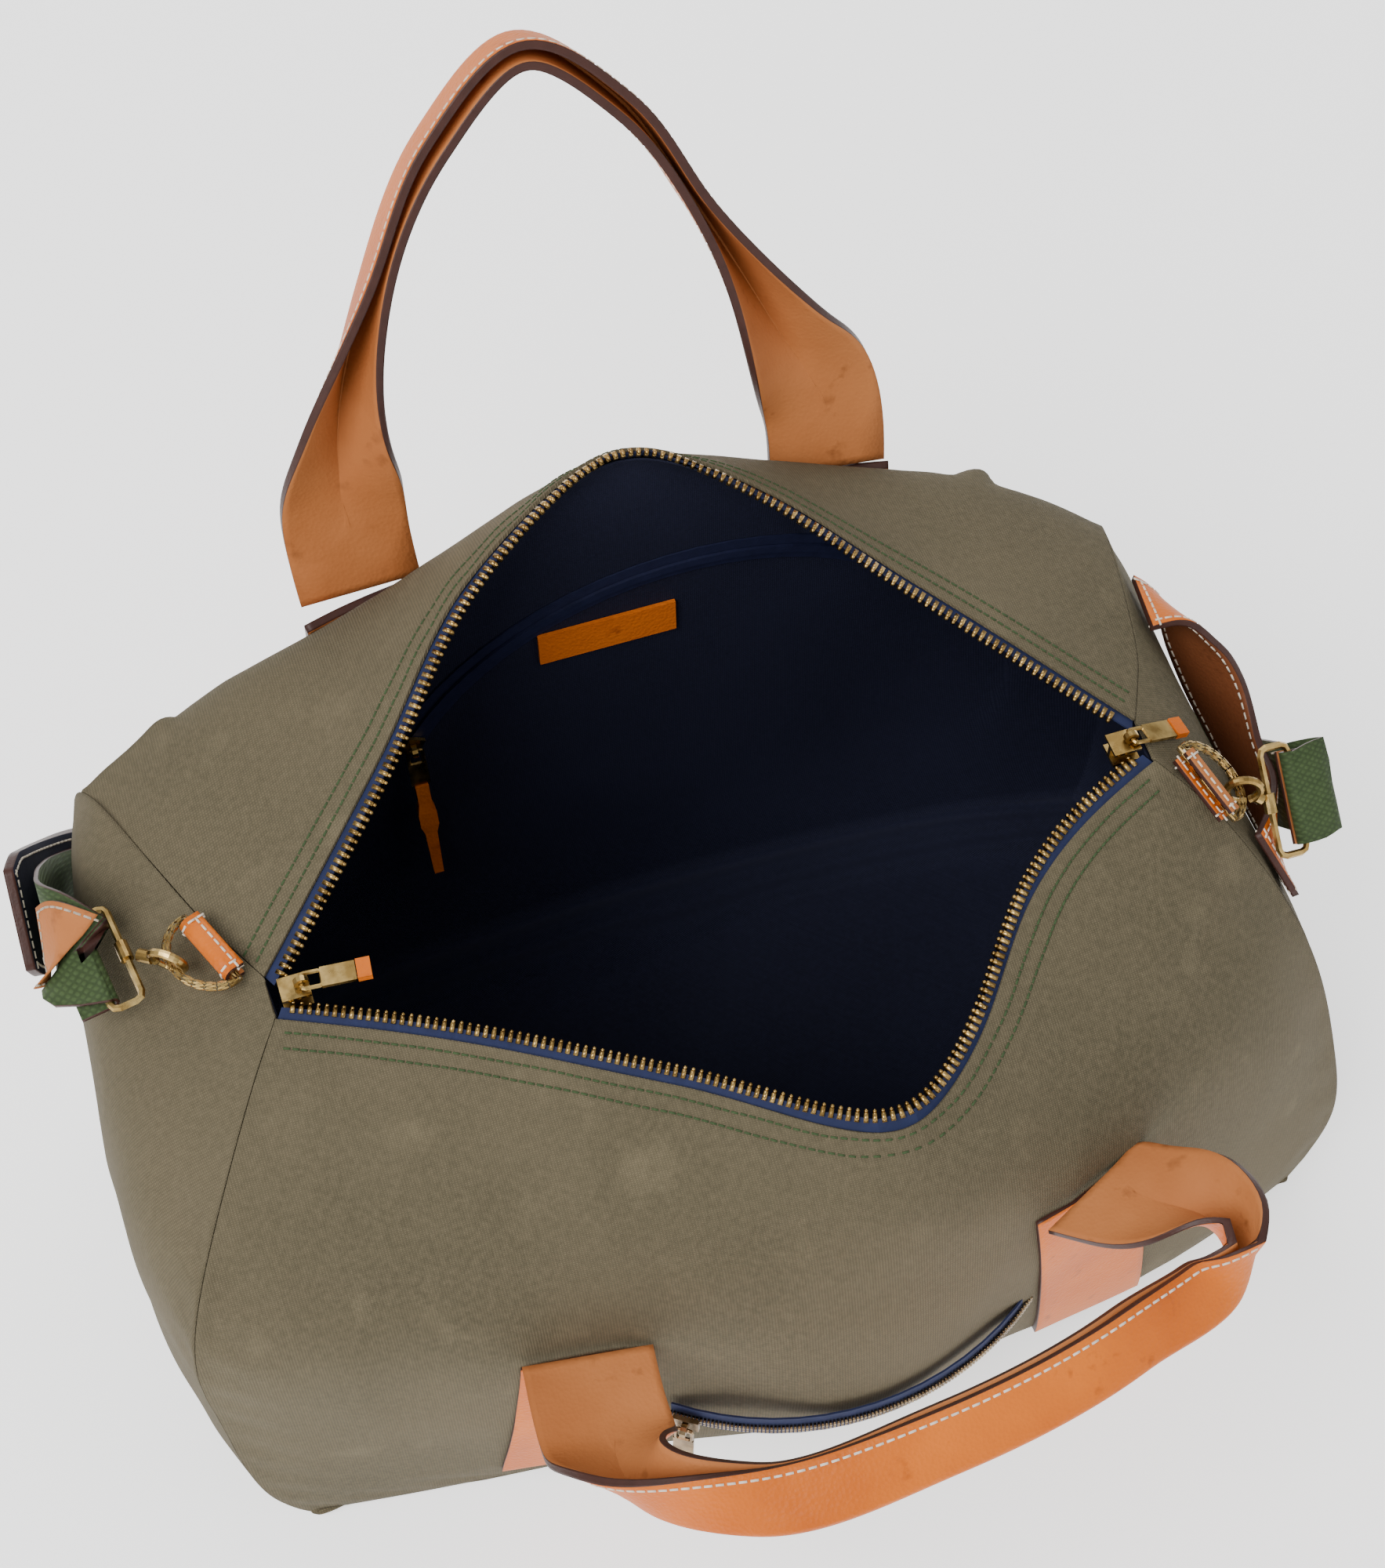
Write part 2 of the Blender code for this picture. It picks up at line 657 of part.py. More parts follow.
def handle(name, spine, fleshward, folds, count, pivot, hinge_lines=None):
    """A strap handle swept along its spine, its ends square to its hinges."""
    data = np.concatenate([spine, fleshward, np.asarray(folds)[:, None]], axis=1)
    swept = spline(data, count)
    frames = path_frames(swept[:, :3], swept[:, 3:6])
    for k, (tangent, side, normal) in enumerate(frames):
        for line, steps in zip(hinge_lines or (), (k, count - 1 - k)):
            share = max(0, 1 - steps / END_STATIONS)
            side = unit(side * (1 - share) + line * math.copysign(share, line @ side))
            normal = unit(normal - side * (normal @ side))
        frames[k] = (tangent, side, normal)
    rows = [folded(p[:3], f[1], f[2], max(p[6], 0)) for p, f in zip(swept, frames)]
    return slab(name, [r[0] for r in rows], [r[1] for r in rows], "leather", pivot)


def anchor(name, side, x, top_z, foot_z):
    """A strap end sewn flat down the canvas; returns where it leaves the wall."""
    rows_in, rows_out = [], []
    levels = np.linspace(top_z, foot_z, 15)
    across = np.linspace(-STRAP_WIDTH / 2, STRAP_WIDTH / 2, 5)
    for z in levels:
        near, far = [], []
        middle = x * (1 + ANCHOR_SPLAY * (top_z - z) / 0.1) if side == "front" else x
        for dx in across:
            point, normal = skin_at(side, middle + dx, z)
            near.append(point + normal * ANCHOR_STANDOFF)
            far.append(point + normal * (ANCHOR_STANDOFF + STRAP_THICK))
        rows_in.append(near)
        rows_out.append(far)
    slab(name, rows_out, rows_in, "leather")
    return (np.array(rows_in[0][2]) + np.array(rows_out[0][2])) / 2


def handles():
    """Both carrying handles and the four stitched strap ends."""
    half = HANDLE_SPACING / 2
    foot = ANCHOR_FOOT
    clear = STRAP_THICK / 2 + 0.0010
    rear = [anchor("rear_anchor_left", "rear", -half, REAR_HINGE_HEIGHT, foot),
            anchor("rear_anchor_right", "rear", half, REAR_HINGE_HEIGHT, foot)]
    hinge = (rear[0] + rear[1]) / 2 + np.array([0, 0.002, clear + 0.0005])
    lean = np.array([0, math.sin(REAR_LEAN), math.cos(REAR_LEAN)])
    back = np.array([0, math.cos(REAR_LEAN), -math.sin(REAR_LEAN)])
    reach = REAR_ARCH_HEIGHT
    arch = [(-half, 0), (-half, 0.15), (-0.097, 0.33), (-0.072, 0.62), (-0.038, 0.87), (0.002, 1.0),
            (0.035, 0.87), (0.062, 0.62), (0.088, 0.33), (half + 0.001, 0.15), (half, 0)]
    spine = [hinge + np.array([x, 0, 0]) + lean * s * reach for x, s in arch]
    folds = [0, 0, 0.8, 1.5, 1.5, 1.5, 1.5, 1.5, 0.8, 0, 0]
    handle("rear_handle", np.array(spine), np.array([-back] * len(spine)), folds, 37, tuple(hinge))

    left = anchor("front_anchor_left", "front", -half, FRONT_HINGE_LEFT_HEIGHT, foot)
    right = anchor("front_anchor_right", "front", half, FRONT_HINGE_RIGHT_HEIGHT, foot)
    rise = np.array([0, -0.0015, clear + 0.0015])
    left = left + rise
    right = right + rise
    middle = (left + right) / 2
    lead = np.array([0.42, -0.90, 0]) * 0.009
    spine = [left, left + [-0.002, -0.033, 0.001], left + [0.001, -0.062, 0.012],
             left + [0.037, -0.092, 0.024], middle + [0.010, -0.093, 0.020],
             right + [-0.012, -0.076, 0.009], right + [0.036, -0.054, 0.003],
             right + [0.039, -0.035, 0.004], right + lead + [0.015, -0.006, 0.003], right]
    flesh = [(0, 0, 1), (0, 0.05, 1), (0, 0.4, 0.9), (0, 0.82, 0.57), (0, 0.82, 0.57),
             (0, 0.82, 0.57), (0.2, 0.75, 0.6), (0.1, 0.4, 0.9), (0, 0.1, 1), (0, 0, 1)]
    folds = [0, 0, 1.0, 1.5, 1.5, 1.5, 1.5, 1.2, 0.15, 0]
    handle("front_handle", np.array(spine), np.array(flesh, float), folds, 37, tuple(middle),
           (unit([0.99, -0.14, 0]), -unit([0.90, 0.42, 0.10])))


# ---------------------------------------------------------------- front pocket
def pocket_arc(angle, out, z):
    """A point on the front pocket's curved line, a distance out from its tape."""
    reach = POCKET_RADIUS + out
    return np.array([POCKET_CENTRE_X + reach * math.sin(angle), POCKET_CENTRE_Y - reach * math.cos(angle), z])


def pocket_centre_y():
    """How far back the arc's centre lies for the tape to just clear the canvas."""
    found = []
    for angle in np.linspace(-POCKET_LIMIT, POCKET_LIMIT, 13):
        for z in np.linspace(-1, 1, 5) * POCKET_TAPE_WIDTH / 2 + POCKET_HEIGHT:
            x = POCKET_CENTRE_X + POCKET_RADIUS * math.sin(angle)
            found.append(skin_at("front", x, z)[0][1] + POCKET_RADIUS * math.cos(angle))
    return min(found) - POCKET_STANDOFF


POCKET_RADIUS = (POCKET_CHORD ** 2 / 4 + POCKET_BULGE ** 2) / (2 * POCKET_BULGE)
POCKET_LIMIT = math.asin(POCKET_CHORD / 2 / POCKET_RADIUS)
POCKET_CENTRE_Y = pocket_centre_y()


def front_pocket():
    """The zip across the front panel, closed, with its slider and puller."""
    z = POCKET_HEIGHT
    angles = np.linspace(-POCKET_LIMIT, POCKET_LIMIT, 17)
    band = POCKET_TAPE_WIDTH / 2

    def strip(low, high, out_in, out_out):
        far = [[pocket_arc(a, out_out, low), pocket_arc(a, out_out, high)] for a in angles]
        near = [[pocket_arc(a, out_in, low), pocket_arc(a, out_in, high)] for a in angles]
        return far, near

    far, near = strip(z - band, z + band, 0, TAPE)
    slab("pocket_zip_tape", far, near, "navy")
    far, near = strip(z - 0.0022, z + 0.0022, TAPE + GAP, TAPE + GAP + 0.0016)
    slab("pocket_zip_teeth", far, near, "brass")
    angle = -POCKET_LIMIT + 0.055
    across = unit(pocket_arc(angle + 0.01, 0, z) - pocket_arc(angle, 0, z))
    out = unit(pocket_arc(angle, 1, z) - pocket_arc(angle, 0, z))
    up = np.array([0, 0, 1.0])
    centre = pocket_arc(angle, TAPE + GAP + 0.0016 + GAP + 0.0009, z)
    pivot = tuple(pocket_arc(0, -POCKET_RADIUS, z))
    body = block("pocket_slider", centre, (across, up, out), (0.0110, 0.0085, 0.0018), "brass", pivot)
    pin = centre + out * 0.0030
    lug(body, pin, across, out)
    puller("pocket_puller", pin, across, unit(-up + 0.10 * out))


# ---------------------------------------------------------------- inner pocket
def inner_pocket():
    """The zip on the lining's rear wall, its slider, its pull and the label."""
    wall = LINING_REAR_Y - LINING - GAP
    cx, cz = INNER_ZIP_CENTRE

    def at(angle, spread, depth):
        reach = INNER_ZIP_RADIUS + spread
        return np.array([cx + reach * math.cos(angle), wall - depth, cz + reach * math.sin(angle)])

    angles = np.linspace(INNER_ZIP_START, INNER_ZIP_END, 19)
    for name, half, near, far, finish in (("inner_zip_tape", 0.007, 0, TAPE, "navy"),
                                          ("inner_zip_teeth", 0.002, TAPE + GAP, TAPE + GAP + 0.0014, "navy")):
        front = [[at(a, -half, far), at(a, half, far)] for a in angles]
        back = [[at(a, -half, near), at(a, half, near)] for a in angles]
        slab(name, front, back, finish)
    angle = INNER_ZIP_START - 0.06
    along = unit(at(angle - 0.01, 0, 0) - at(angle, 0, 0))
    across = unit(at(angle, 1, 0) - at(angle, 0, 0))
    out = np.array([0, -1.0, 0])
    centre = at(angle, 0, TAPE + GAP + 0.0014 + GAP + 0.0009)
    pivot = (cx, wall, cz)
    body = block("inner_slider", centre, (along, across, out), (0.0100, 0.0080, 0.0018), "brass", pivot)
    pin = centre + out * 0.0030
    level = np.array([1.0, 0, 0])
    lug(body, pin, level, out)
    hang = unit(np.array([0, -0.16, -1.0]))
    end = puller("inner_puller", pin, level, hang)
    face = np.cross(level, hang)
    sections = []
    for reach, half in ((GAP, 0.0030), (0.012, 0.0030), (0.018, 0.0042), (0.026, 0.0042),
                        (0.032, 0.0028), (0.060, 0.0022)):
        centre_line = end + hang * reach
        sections.append([centre_line + sx * half * level + sy * half * 0.6 * face
                         for sx, sy in ((-1, -1), (1, -1), (1, 1), (-1, 1))])
    loft("inner_pull", sections, "leather", pivot=tuple(pin))
    size = LABEL
    block("inner_label", (LABEL_CENTRE[0], wall - size[1] / 2, LABEL_CENTRE[1]),
          ((1, 0, 0), (0, 1, 0), (0, 0, 1)), size, "leather")


# --------------------------------------------------------------- end hardware
# Each end, in millimetres: the middle of the ring's bar and its direction, the
# way the ring hangs, where along it the hook bears, and the strap loop's near
# bar with its direction and the way its far bar lies.
ENDS = {
    "left": dict(bar=(-198, 14.5, 252), along=(-0.387, 0.922, 0), out=(-0.86, -0.36, 0.10), bears=5,
                 loop=(-230, 25, 250), loop_along=(-0.15, 0.99, 0), away=(-0.96, 0, -0.05)),
    "right": dict(bar=(195.5, -32.5, 243), along=(0.33, -0.88, -0.34), out=(0.87, 0, -0.5), bears=9,
                  loop=(223, -39, 224.2), loop_along=(-0.05, -0.81, -0.58), away=(0.98, 0.02, -0.115)),
}


def placed(point):
    """A point given in millimetres on the nominal body, in metres."""
    return np.array(point, float) * SCALE


def square_to(vector, axis):
    """A unit vector with its part along an axis taken out."""
    vector = np.asarray(vector, float)
    return unit(vector - axis * (vector @ axis))


def ring_point(bar, along, out, shift):
    """The wire's middle on a D-ring's bow, a distance along from its centre."""
    half = RING_BAR / 2
    return bar + along * shift + out * RING_DEPTH * math.sqrt(1 - (shift / half) ** 2)


def end_hardware(name):
    """The leather tab, D-ring, snap hook, trigger and strap loop at one end."""
    spec = ENDS[name]
    bar = placed(spec["bar"])
    along = unit(spec["along"])
    out = square_to(spec["out"], along)
    up = np.cross(along, out)
    up = up if up[2] > 0 else -up
    half = RING_BAR / 2
    path = [bar + along * half * s for s in (-0.5, 0, 0.5)]
    for k in range(13):
        angle = math.pi * k / 12
        path.append(bar + along * half * math.cos(angle) + out * RING_DEPTH * math.sin(angle))
    wire("d_ring_" + name, path, up, RING_WIRE, "brass", sides=8, pivot=tuple(bar))
    ring_tab(name, bar, along, out, up)
    shift = spec["bears"] * MM
    bearing = ring_point(bar, along, out, shift)
    crossing = unit(ring_point(bar, along, out, shift + 0.001) - bearing)
    snap_hook(name, spec, bearing, crossing)


def ring_tab(name, bar, along, out, up):
    """A leather strip rolled round the ring's bar, its ends going to the seam."""
    inner = RING_WIRE + GAP
    outer = inner + TAB_THICK
    angles = np.linspace(-0.5 * math.pi, 0.5 * math.pi, 9)
    tail = -0.0045
    outside = [(tail, -outer)] + [(outer * math.cos(a), outer * math.sin(a)) for a in angles] + [(tail, outer)]
    inside = [(tail, -inner)] + [(inner * math.cos(a), inner * math.sin(a)) for a in angles] + [(tail, inner)]
    ends = (-TAB_LENGTH / 2, 0, TAB_LENGTH / 2)
    slab("ring_tab_" + name, [[bar + along * e + out * o + up * u for o, u in outside] for e in ends],
         [[bar + along * e + out * o + up * u for o, u in inside] for e in ends], "leather")


def snap_hook(name, spec, bearing, crossing):
    """A swivel hook bearing on the ring's wire, its trigger and the strap loop."""
    loop = placed(spec["loop"])
    bar_along = unit(spec["loop_along"])
    axis = unit(loop - bearing)
    normal = square_to(crossing, axis)
    plane = np.cross(normal, axis)
    square = abs(crossing @ normal)
    slope = abs(crossing @ axis) / square
    eye = bearing + axis * (HOOK_EYE - RING_WIRE / square - HOOK_WIRE * slope - GAP)
    radius = HOOK_EYE + HOOK_WIRE

    def bow(low, high, count):
        turns = np.radians(np.linspace(low, high, count))
        return [eye + radius * (math.cos(a) * axis + math.sin(a) * plane) for a in turns]

    hook = wire("snap_hook_" + name, bow(-24, 250, 20), normal, HOOK_WIRE, "brass", False, 8,
                tuple(eye + axis * radius))
    slant = abs(axis @ bar_along)
    reach = (BOSS_RADIUS + STEM_RADIUS * slant) / math.sqrt(1 - slant ** 2)
    stem_end = np.linalg.norm(loop - eye) - reach - GAP
    middle = eye + axis * (radius + stem_end) / 2
    stem = drum("snap_stem_" + name, middle, axis, normal, STEM_RADIUS, stem_end - radius + 0.0004, "brass")
    combine(hook, stem, "UNION")
    trigger = bow(259, 326, 6)
    wire("hook_trigger_" + name, trigger, normal, HOOK_WIRE * 0.65, "brass", False, 6, tuple(trigger[-1]))
    strap_loop(name, loop, bar_along, square_to(spec["away"], bar_along))


def strap_loop(name, loop, bar_along, away):
    """The rectangular wire loop that the webbing is sewn round, with its boss."""
    half = LOOP_WIDTH / 2 - LOOP_WIRE
    bend = 0.0030
    points = []
    for depth, side in ((0, 1), (LOOP_DEPTH, 1), (LOOP_DEPTH, -1), (0, -1)):
        turns = np.radians([0, 45, 90])
        if (depth > 0) != (side > 0):
            turns = turns[::-1]
        inward = bend if depth == 0 else -bend
        for a in turns:
            reach = depth + inward - math.copysign(bend, inward) * math.sin(a)
            points.append(loop + away * reach + bar_along * side * (half - bend + bend * math.cos(a)))
    flat = np.cross(bar_along, away)
    body = wire("strap_loop_" + name, points, flat, LOOP_WIRE, "brass")
    boss = drum("loop_boss_" + name, loop, bar_along, away, BOSS_RADIUS, BOSS_LENGTH, "brass")
    combine(body, boss, "UNION")


# ------------------------------------------------------------- shoulder strap
# Middle of the webbing from the left loop, down the left corner, behind the
# bag, up the right end and back to the right loop, with the direction across
# its width (millimetres on the nominal body).
STRAP_ROUTE = (
    ((-250, 34, 251), (-0.12, 0.99, 0.05)), ((-255, 46, 244), (-0.05, 0.95, 0.28)),
    ((-257, 61, 230), (0.03, 0.84, 0.54)), ((-257, 84, 203), (0.08, 0.80, 0.60)),
    ((-256, 108, 172), (0.20, 0.78, 0.60)), ((-250, 132, 142), (0.55, 0.62, 0.56)),
    ((-230, 148, 116), (0.62, 0.25, 0.74)), ((-190, 155, 86), (0.55, 0.05, 0.83)),
    ((-140, 159, 60), (0.42, 0, 0.90)), ((-90, 160, 40), (0.28, 0, 0.96)),
    ((-40, 160, 29), (0.10, 0, 1)), ((10, 160, 26), (0, 0, 1)), ((60, 160, 26), (0, 0, 1)),
    ((110, 160, 26), (0, 0, 1)), ((165, 155, 28), (-0.05, 0, 1)), ((218, 146, 34), (-0.15, 0, 1)),
    ((246, 132, 44), (-0.20, 0.20, 0.95)), ((258, 106, 62), (0, 0.45, 0.90)),
    ((262, 74, 90), (0, 0.60, 0.80)), ((260, 40, 122), (0.03, 0.70, 0.70)),
    ((256, 13, 152), (0.05, 0.78, 0.62)), ((248, -9, 183.5), (0.05, 0.81, 0.58)),
    ((245, -22, 201), (0.05, 0.81, 0.58)), ((243, -27, 208.5), (0.05, 0.81, 0.58)),
    ((246, -30, 213.5), (0.05, 0.81, 0.58)), ((250.5, -32.5, 216.5), (0.05, 0.81, 0.58)),
    ((253, -35, 220), (0.05, 0.81, 0.58)), ((251, -37, 223), (0.05, 0.81, 0.58)),
    ((246, -38.6, 225), (0.05, 0.81, 0.58)),
)


def wrap_at(name, reach):
    """The webbing turned round a loop's far bar, from its hidden end outward."""
    spec = ENDS[name]
    along = unit(spec["loop_along"])
    away = square_to(spec["away"], along)
    centre = placed(spec["loop"]) + away * LOOP_DEPTH
    rise = np.cross(along, away)
    rise = rise if rise[2] > 0 else -rise
    across = along if name == "left" else -along
    radius = LOOP_WIRE + GAP + WEBBING_THICK / 2
    points = [centre + away * s - rise * radius for s in np.linspace(reach, 0, 4)]
    for a in np.radians(np.linspace(-90, 90, 9))[1:]:
        points.append(centre - away * radius * math.cos(a) + rise * radius * math.sin(a))
    points.append(centre + away * 0.004 + rise * radius)
    return points, across, rise, away, centre


def shoulder_strap():
    """Webbing, leather ends, pad and adjuster."""
    start, start_across, start_rise, start_away, _ = wrap_at("left", STRAP_END)
    finish, finish_across, finish_rise, finish_away, _ = wrap_at("right", STRAP_END)
    route = [np.concatenate([start[-1], start_across])]
    route += [np.concatenate([placed(p), unit(b)]) for p, b in STRAP_ROUTE]
    route += [np.concatenate([finish[-1], finish_across])]
    swept = spline(route, 150)
    centres = np.concatenate([start[:-1], swept[:, :3], finish[-2::-1]])
    across = np.concatenate([[start_across] * (len(start) - 1), swept[:, 3:], [finish_across] * (len(finish) - 1)])
    tangents = unit_rows(np.gradient(centres, axis=0))
    across = unit_rows(across - tangents * np.sum(across * tangents, axis=1)[:, None])
    facing = np.cross(across, tangents)

    def band(name, keep, offset, width, thick, colour, spread=(-1, 0, 1), pivot=(0, 0, 0)):
        middle = centres[keep] + facing[keep] * np.asarray(offset).reshape(-1, 1)
        lines = [middle + across[keep] * (s * width / 2)[:, None] for s in np.array(spread)[:, None]
                 * np.ones((1, len(middle)))]
        lift = facing[keep] * thick / 2
        slab(name, np.stack([line + lift for line in lines], 1), np.stack([line - lift for line in lines], 1),
             colour, pivot)

    band("webbing", slice(None), 0, WEBBING_WIDTH * np.ones(1), WEBBING_THICK, "webbing")
    distance = np.concatenate([[0], np.cumsum(np.linalg.norm(np.diff(swept[:, :3], axis=0), axis=1))])
    offset = WEBBING_THICK / 2 + 5 * GAP + TIP_THICK / 2
    first = len(start) - 1
    tip = slice(first + 1, first + int(np.searchsorted(distance, TIP_LENGTH)) + 1)
    count = tip.stop - tip.start
    taper = np.ones(count)
    taper[-3:] = (0.94, 0.82, 0.60)
    band("strap_tip_left", tip, offset + TIP_LIFT, TIP_WIDTH * taper, TIP_THICK, "leather")
    hidden = slice(len(centres) - 5, len(centres))
    band("strap_tip_right", hidden, offset, TIP_WIDTH * np.array([1, 1, 0.97, 0.86, 0.66]), TIP_THICK, "leather")

    begin = int(np.searchsorted(distance, PAD_START))
    stop = int(np.searchsorted(distance, PAD_START + PAD_LENGTH))
    keep = slice(first + begin, first + stop)
    run = (distance[begin:stop] - PAD_START) / PAD_LENGTH
    flare = PAD_FLARE * np.clip(1 - run / 0.45, 0, 1) ** 2
    close = WEBBING_THICK / 2 + GAP + PAD_THICK / 2 + 0.0006
    shape = PAD_WIDTH * np.clip(0.72 + 3.2 * np.minimum(run + 0.02, 1.02 - run), 0, 1)
    band("strap_pad", keep, close + flare, shape, PAD_THICK, "leather", (-1, -0.4, 0.4, 1))

    near = int(np.argmin(np.abs(centres[:, 0] - ADJUSTER_X) + (centres[:, 1] < 0)))
    spot = centres[near]
    frame = (tangents[near], across[near], facing[near])
    body = block("strap_adjuster", spot, frame, ADJUSTER, "brass", tuple(spot))
    slot = block("adjuster_slot", spot, frame, (ADJUSTER[0] * 2, WEBBING_WIDTH + 0.0016,
                                                WEBBING_THICK + 0.0010), "brass")
    combine(body, slot, "DIFFERENCE")


# ----------------------------------------------------------------- grab handle
# Middle of the strap and the direction across it, from the rear seam to the
# front seam of the right end (millimetres on the nominal body).
GRAB_ROUTE = (
    ((209, 62, 238.5), (-0.23, -0.94, 0.24)), ((219, 59, 235), (-0.10, -0.85, 0.50)),
    ((230, 48, 217), (0.12, -0.35, 0.92)), ((238, 28, 195), (0.20, 0.05, 0.97)),
    ((239, 2, 186), (0.12, 0.15, 0.97)), ((236.5, -22, 190), (0.10, 0.30, 0.94)),
    ((229, -41, 199), (-0.05, 0.45, 0.89)), ((220.5, -58, 207), (-0.41, 0.50, 0.77)),
)


def grab_handle():
    """The short leather handle across the right end."""
    route = [np.concatenate([placed(p), unit(b)]) for p, b in GRAB_ROUTE]
    swept = spline(route, 29)
    tangents = unit_rows(np.gradient(swept[:, :3], axis=0))
    across = swept[:, 3:]
    across = unit_rows(across - tangents * np.sum(across * tangents, axis=1)[:, None])
    facing = np.cross(tangents, across)
    half = GRAB_WIDTH / 2
    lines = [swept[:, :3] + across * half * s for s in (-1, -0.33, 0.33, 1)]
    lift = facing * GRAB_THICK / 2
    slab("grab_handle", np.stack([p + lift for p in lines], 1), np.stack([p - lift for p in lines], 1), "leather")


def main():
    """Build the bag from an empty scene."""
    for obj in list(bpy.data.objects):
        bpy.data.objects.remove(obj, do_unlink=True)
    canvas_panels()
    lining()
    base_board()
    main_zipper()
    handles()
    front_pocket()
    inner_pocket()
    for name in ENDS:
        end_hardware(name)
    shoulder_strap()
    grab_handle()


main()
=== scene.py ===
"""Weekender bag: looks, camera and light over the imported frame."""
import math

import bmesh
import bpy
from mathutils import Matrix, Vector, noise
from mathutils.bvhtree import BVHTree
from mathutils.kdtree import KDTree


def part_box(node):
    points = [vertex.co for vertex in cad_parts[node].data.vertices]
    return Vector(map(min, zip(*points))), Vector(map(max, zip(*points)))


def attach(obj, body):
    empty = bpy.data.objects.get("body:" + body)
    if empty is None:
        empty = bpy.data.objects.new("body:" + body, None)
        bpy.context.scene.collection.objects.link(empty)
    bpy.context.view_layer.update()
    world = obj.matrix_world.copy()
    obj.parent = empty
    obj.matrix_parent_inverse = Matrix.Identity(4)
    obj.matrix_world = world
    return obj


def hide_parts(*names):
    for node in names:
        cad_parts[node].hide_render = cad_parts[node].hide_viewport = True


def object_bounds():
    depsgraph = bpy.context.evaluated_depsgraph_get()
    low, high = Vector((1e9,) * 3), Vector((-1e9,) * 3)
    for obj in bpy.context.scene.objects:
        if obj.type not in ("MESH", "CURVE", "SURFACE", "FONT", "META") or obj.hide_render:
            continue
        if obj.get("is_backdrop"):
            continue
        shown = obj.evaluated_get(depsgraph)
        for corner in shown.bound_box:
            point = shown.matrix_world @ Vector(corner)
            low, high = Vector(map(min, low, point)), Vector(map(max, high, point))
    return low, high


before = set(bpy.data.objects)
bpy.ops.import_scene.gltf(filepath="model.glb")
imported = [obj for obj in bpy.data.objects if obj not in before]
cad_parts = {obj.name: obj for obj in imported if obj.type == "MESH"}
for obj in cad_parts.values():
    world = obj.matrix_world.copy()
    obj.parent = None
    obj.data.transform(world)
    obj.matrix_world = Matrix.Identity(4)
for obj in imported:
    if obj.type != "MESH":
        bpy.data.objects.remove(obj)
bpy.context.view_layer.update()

# ---------------------------------------------------------------- camera
# Looks down on the open mouth from the front left, slightly rolled.
AZIMUTH, ELEVATION, ROLL = (math.radians(a) for a in (-17.16, 56.46, -1.249))
TARGET, DISTANCE = Vector((-0.0093, 0, 0.2949)), 0.9955
back = Vector((math.sin(AZIMUTH) * math.cos(ELEVATION),
               -math.cos(AZIMUTH) * math.cos(ELEVATION),
               math.sin(ELEVATION)))
level = Vector((math.cos(AZIMUTH), math.sin(AZIMUTH), 0))
upright = back.cross(level)
right = level * math.cos(ROLL) + upright * math.sin(ROLL)
above = upright * math.cos(ROLL) - level * math.sin(ROLL)
camera = bpy.data.objects.new("camera", bpy.data.cameras.new("camera"))
camera.data.lens, camera.data.sensor_width = 60.8, 36
camera.matrix_world = Matrix.LocRotScale(TARGET + back * DISTANCE, Matrix((right, above, back)).transposed(), None)
bpy.context.collection.objects.link(camera)
bpy.context.scene.camera = camera

# ---------------------------------------------------------------- floor and light
# A pale floor under a broad, soft studio light from the upper left.
floor = bpy.data.meshes.new("floor")
floor.from_pydata([(-4, -4, -0.0005), (4, -4, -0.0005), (4, 4, -0.0005), (-4, 4, -0.0005)], [], [(0, 1, 2, 3)])
floor = bpy.data.objects.new("floor", floor)
bpy.context.collection.objects.link(floor)
floor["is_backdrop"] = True
world = bpy.data.worlds.new("studio")
world.use_nodes = True
world.node_tree.nodes["Background"].inputs["Color"].default_value = (1, 1, 1, 1)
world.node_tree.nodes["Background"].inputs["Strength"].default_value = 0.62
bpy.context.scene.world = world
for name, place, size, power in (("key", (-1.3, -0.9, 2.1), 1.4, 64), ("fill", (1.6, -1.2, 1.5), 1.6, 9),
                                 ("back", (0.3, 1.8, 1.6), 1.6, 20)):
    lamp = bpy.data.lights.new(name, "AREA")
    lamp.size, lamp.energy = size, power
    lamp = bpy.data.objects.new(name, lamp)
    lamp.matrix_world = Matrix.Translation(place) @ Vector(place).to_track_quat("Z", "Y").to_matrix().to_4x4()
    bpy.context.collection.objects.link(lamp)


# ---------------------------------------------------------------- materials
# Everything is procedural. Each finish starts from one Principled shader.
def finish(name, roughness, metallic=0.0, specular=0.5, sheen=0.0):
    mat = bpy.data.materials.new(name)
    mat.use_nodes = True
    shader = mat.node_tree.nodes["Principled BSDF"]
    shader.inputs["Roughness"].default_value = roughness
    shader.inputs["Metallic"].default_value = metallic
    shader.inputs["Specular IOR Level"].default_value = specular
    shader.inputs["Sheen Weight"].default_value = sheen
    return mat, mat.node_tree, shader


def add(tree, kind, **values):
    node = tree.nodes.new(kind)
    for key, value in values.items():
        key = key.replace("_", " ")
        if key in node.inputs:
            if isinstance(value, bpy.types.NodeSocket):
                tree.links.new(value, node.inputs[key])
            else:
                node.inputs[key].default_value = value
        else:
            setattr(node, key.replace(" ", "_"), value)
    return node


def mixed(tree, factor, first, second, blend="MIX"):
    node = tree.nodes.new("ShaderNodeMix")
    node.data_type = "RGBA"
    node.blend_type = blend
    for socket, value in ((node.inputs[0], factor), (node.inputs[6], first), (node.inputs[7], second)):
        if isinstance(value, bpy.types.NodeSocket):
            tree.links.new(value, socket)
        else:
            socket.default_value = value if isinstance(value, (int, float)) else (*value, 1.0)
    return node.outputs[2]


def ramp(tree, source, low, high):
    node = add(tree, "ShaderNodeMapRange", Value=source)
    node.inputs["From Min"].default_value = low
    node.inputs["From Max"].default_value = high
    return node.outputs["Result"]


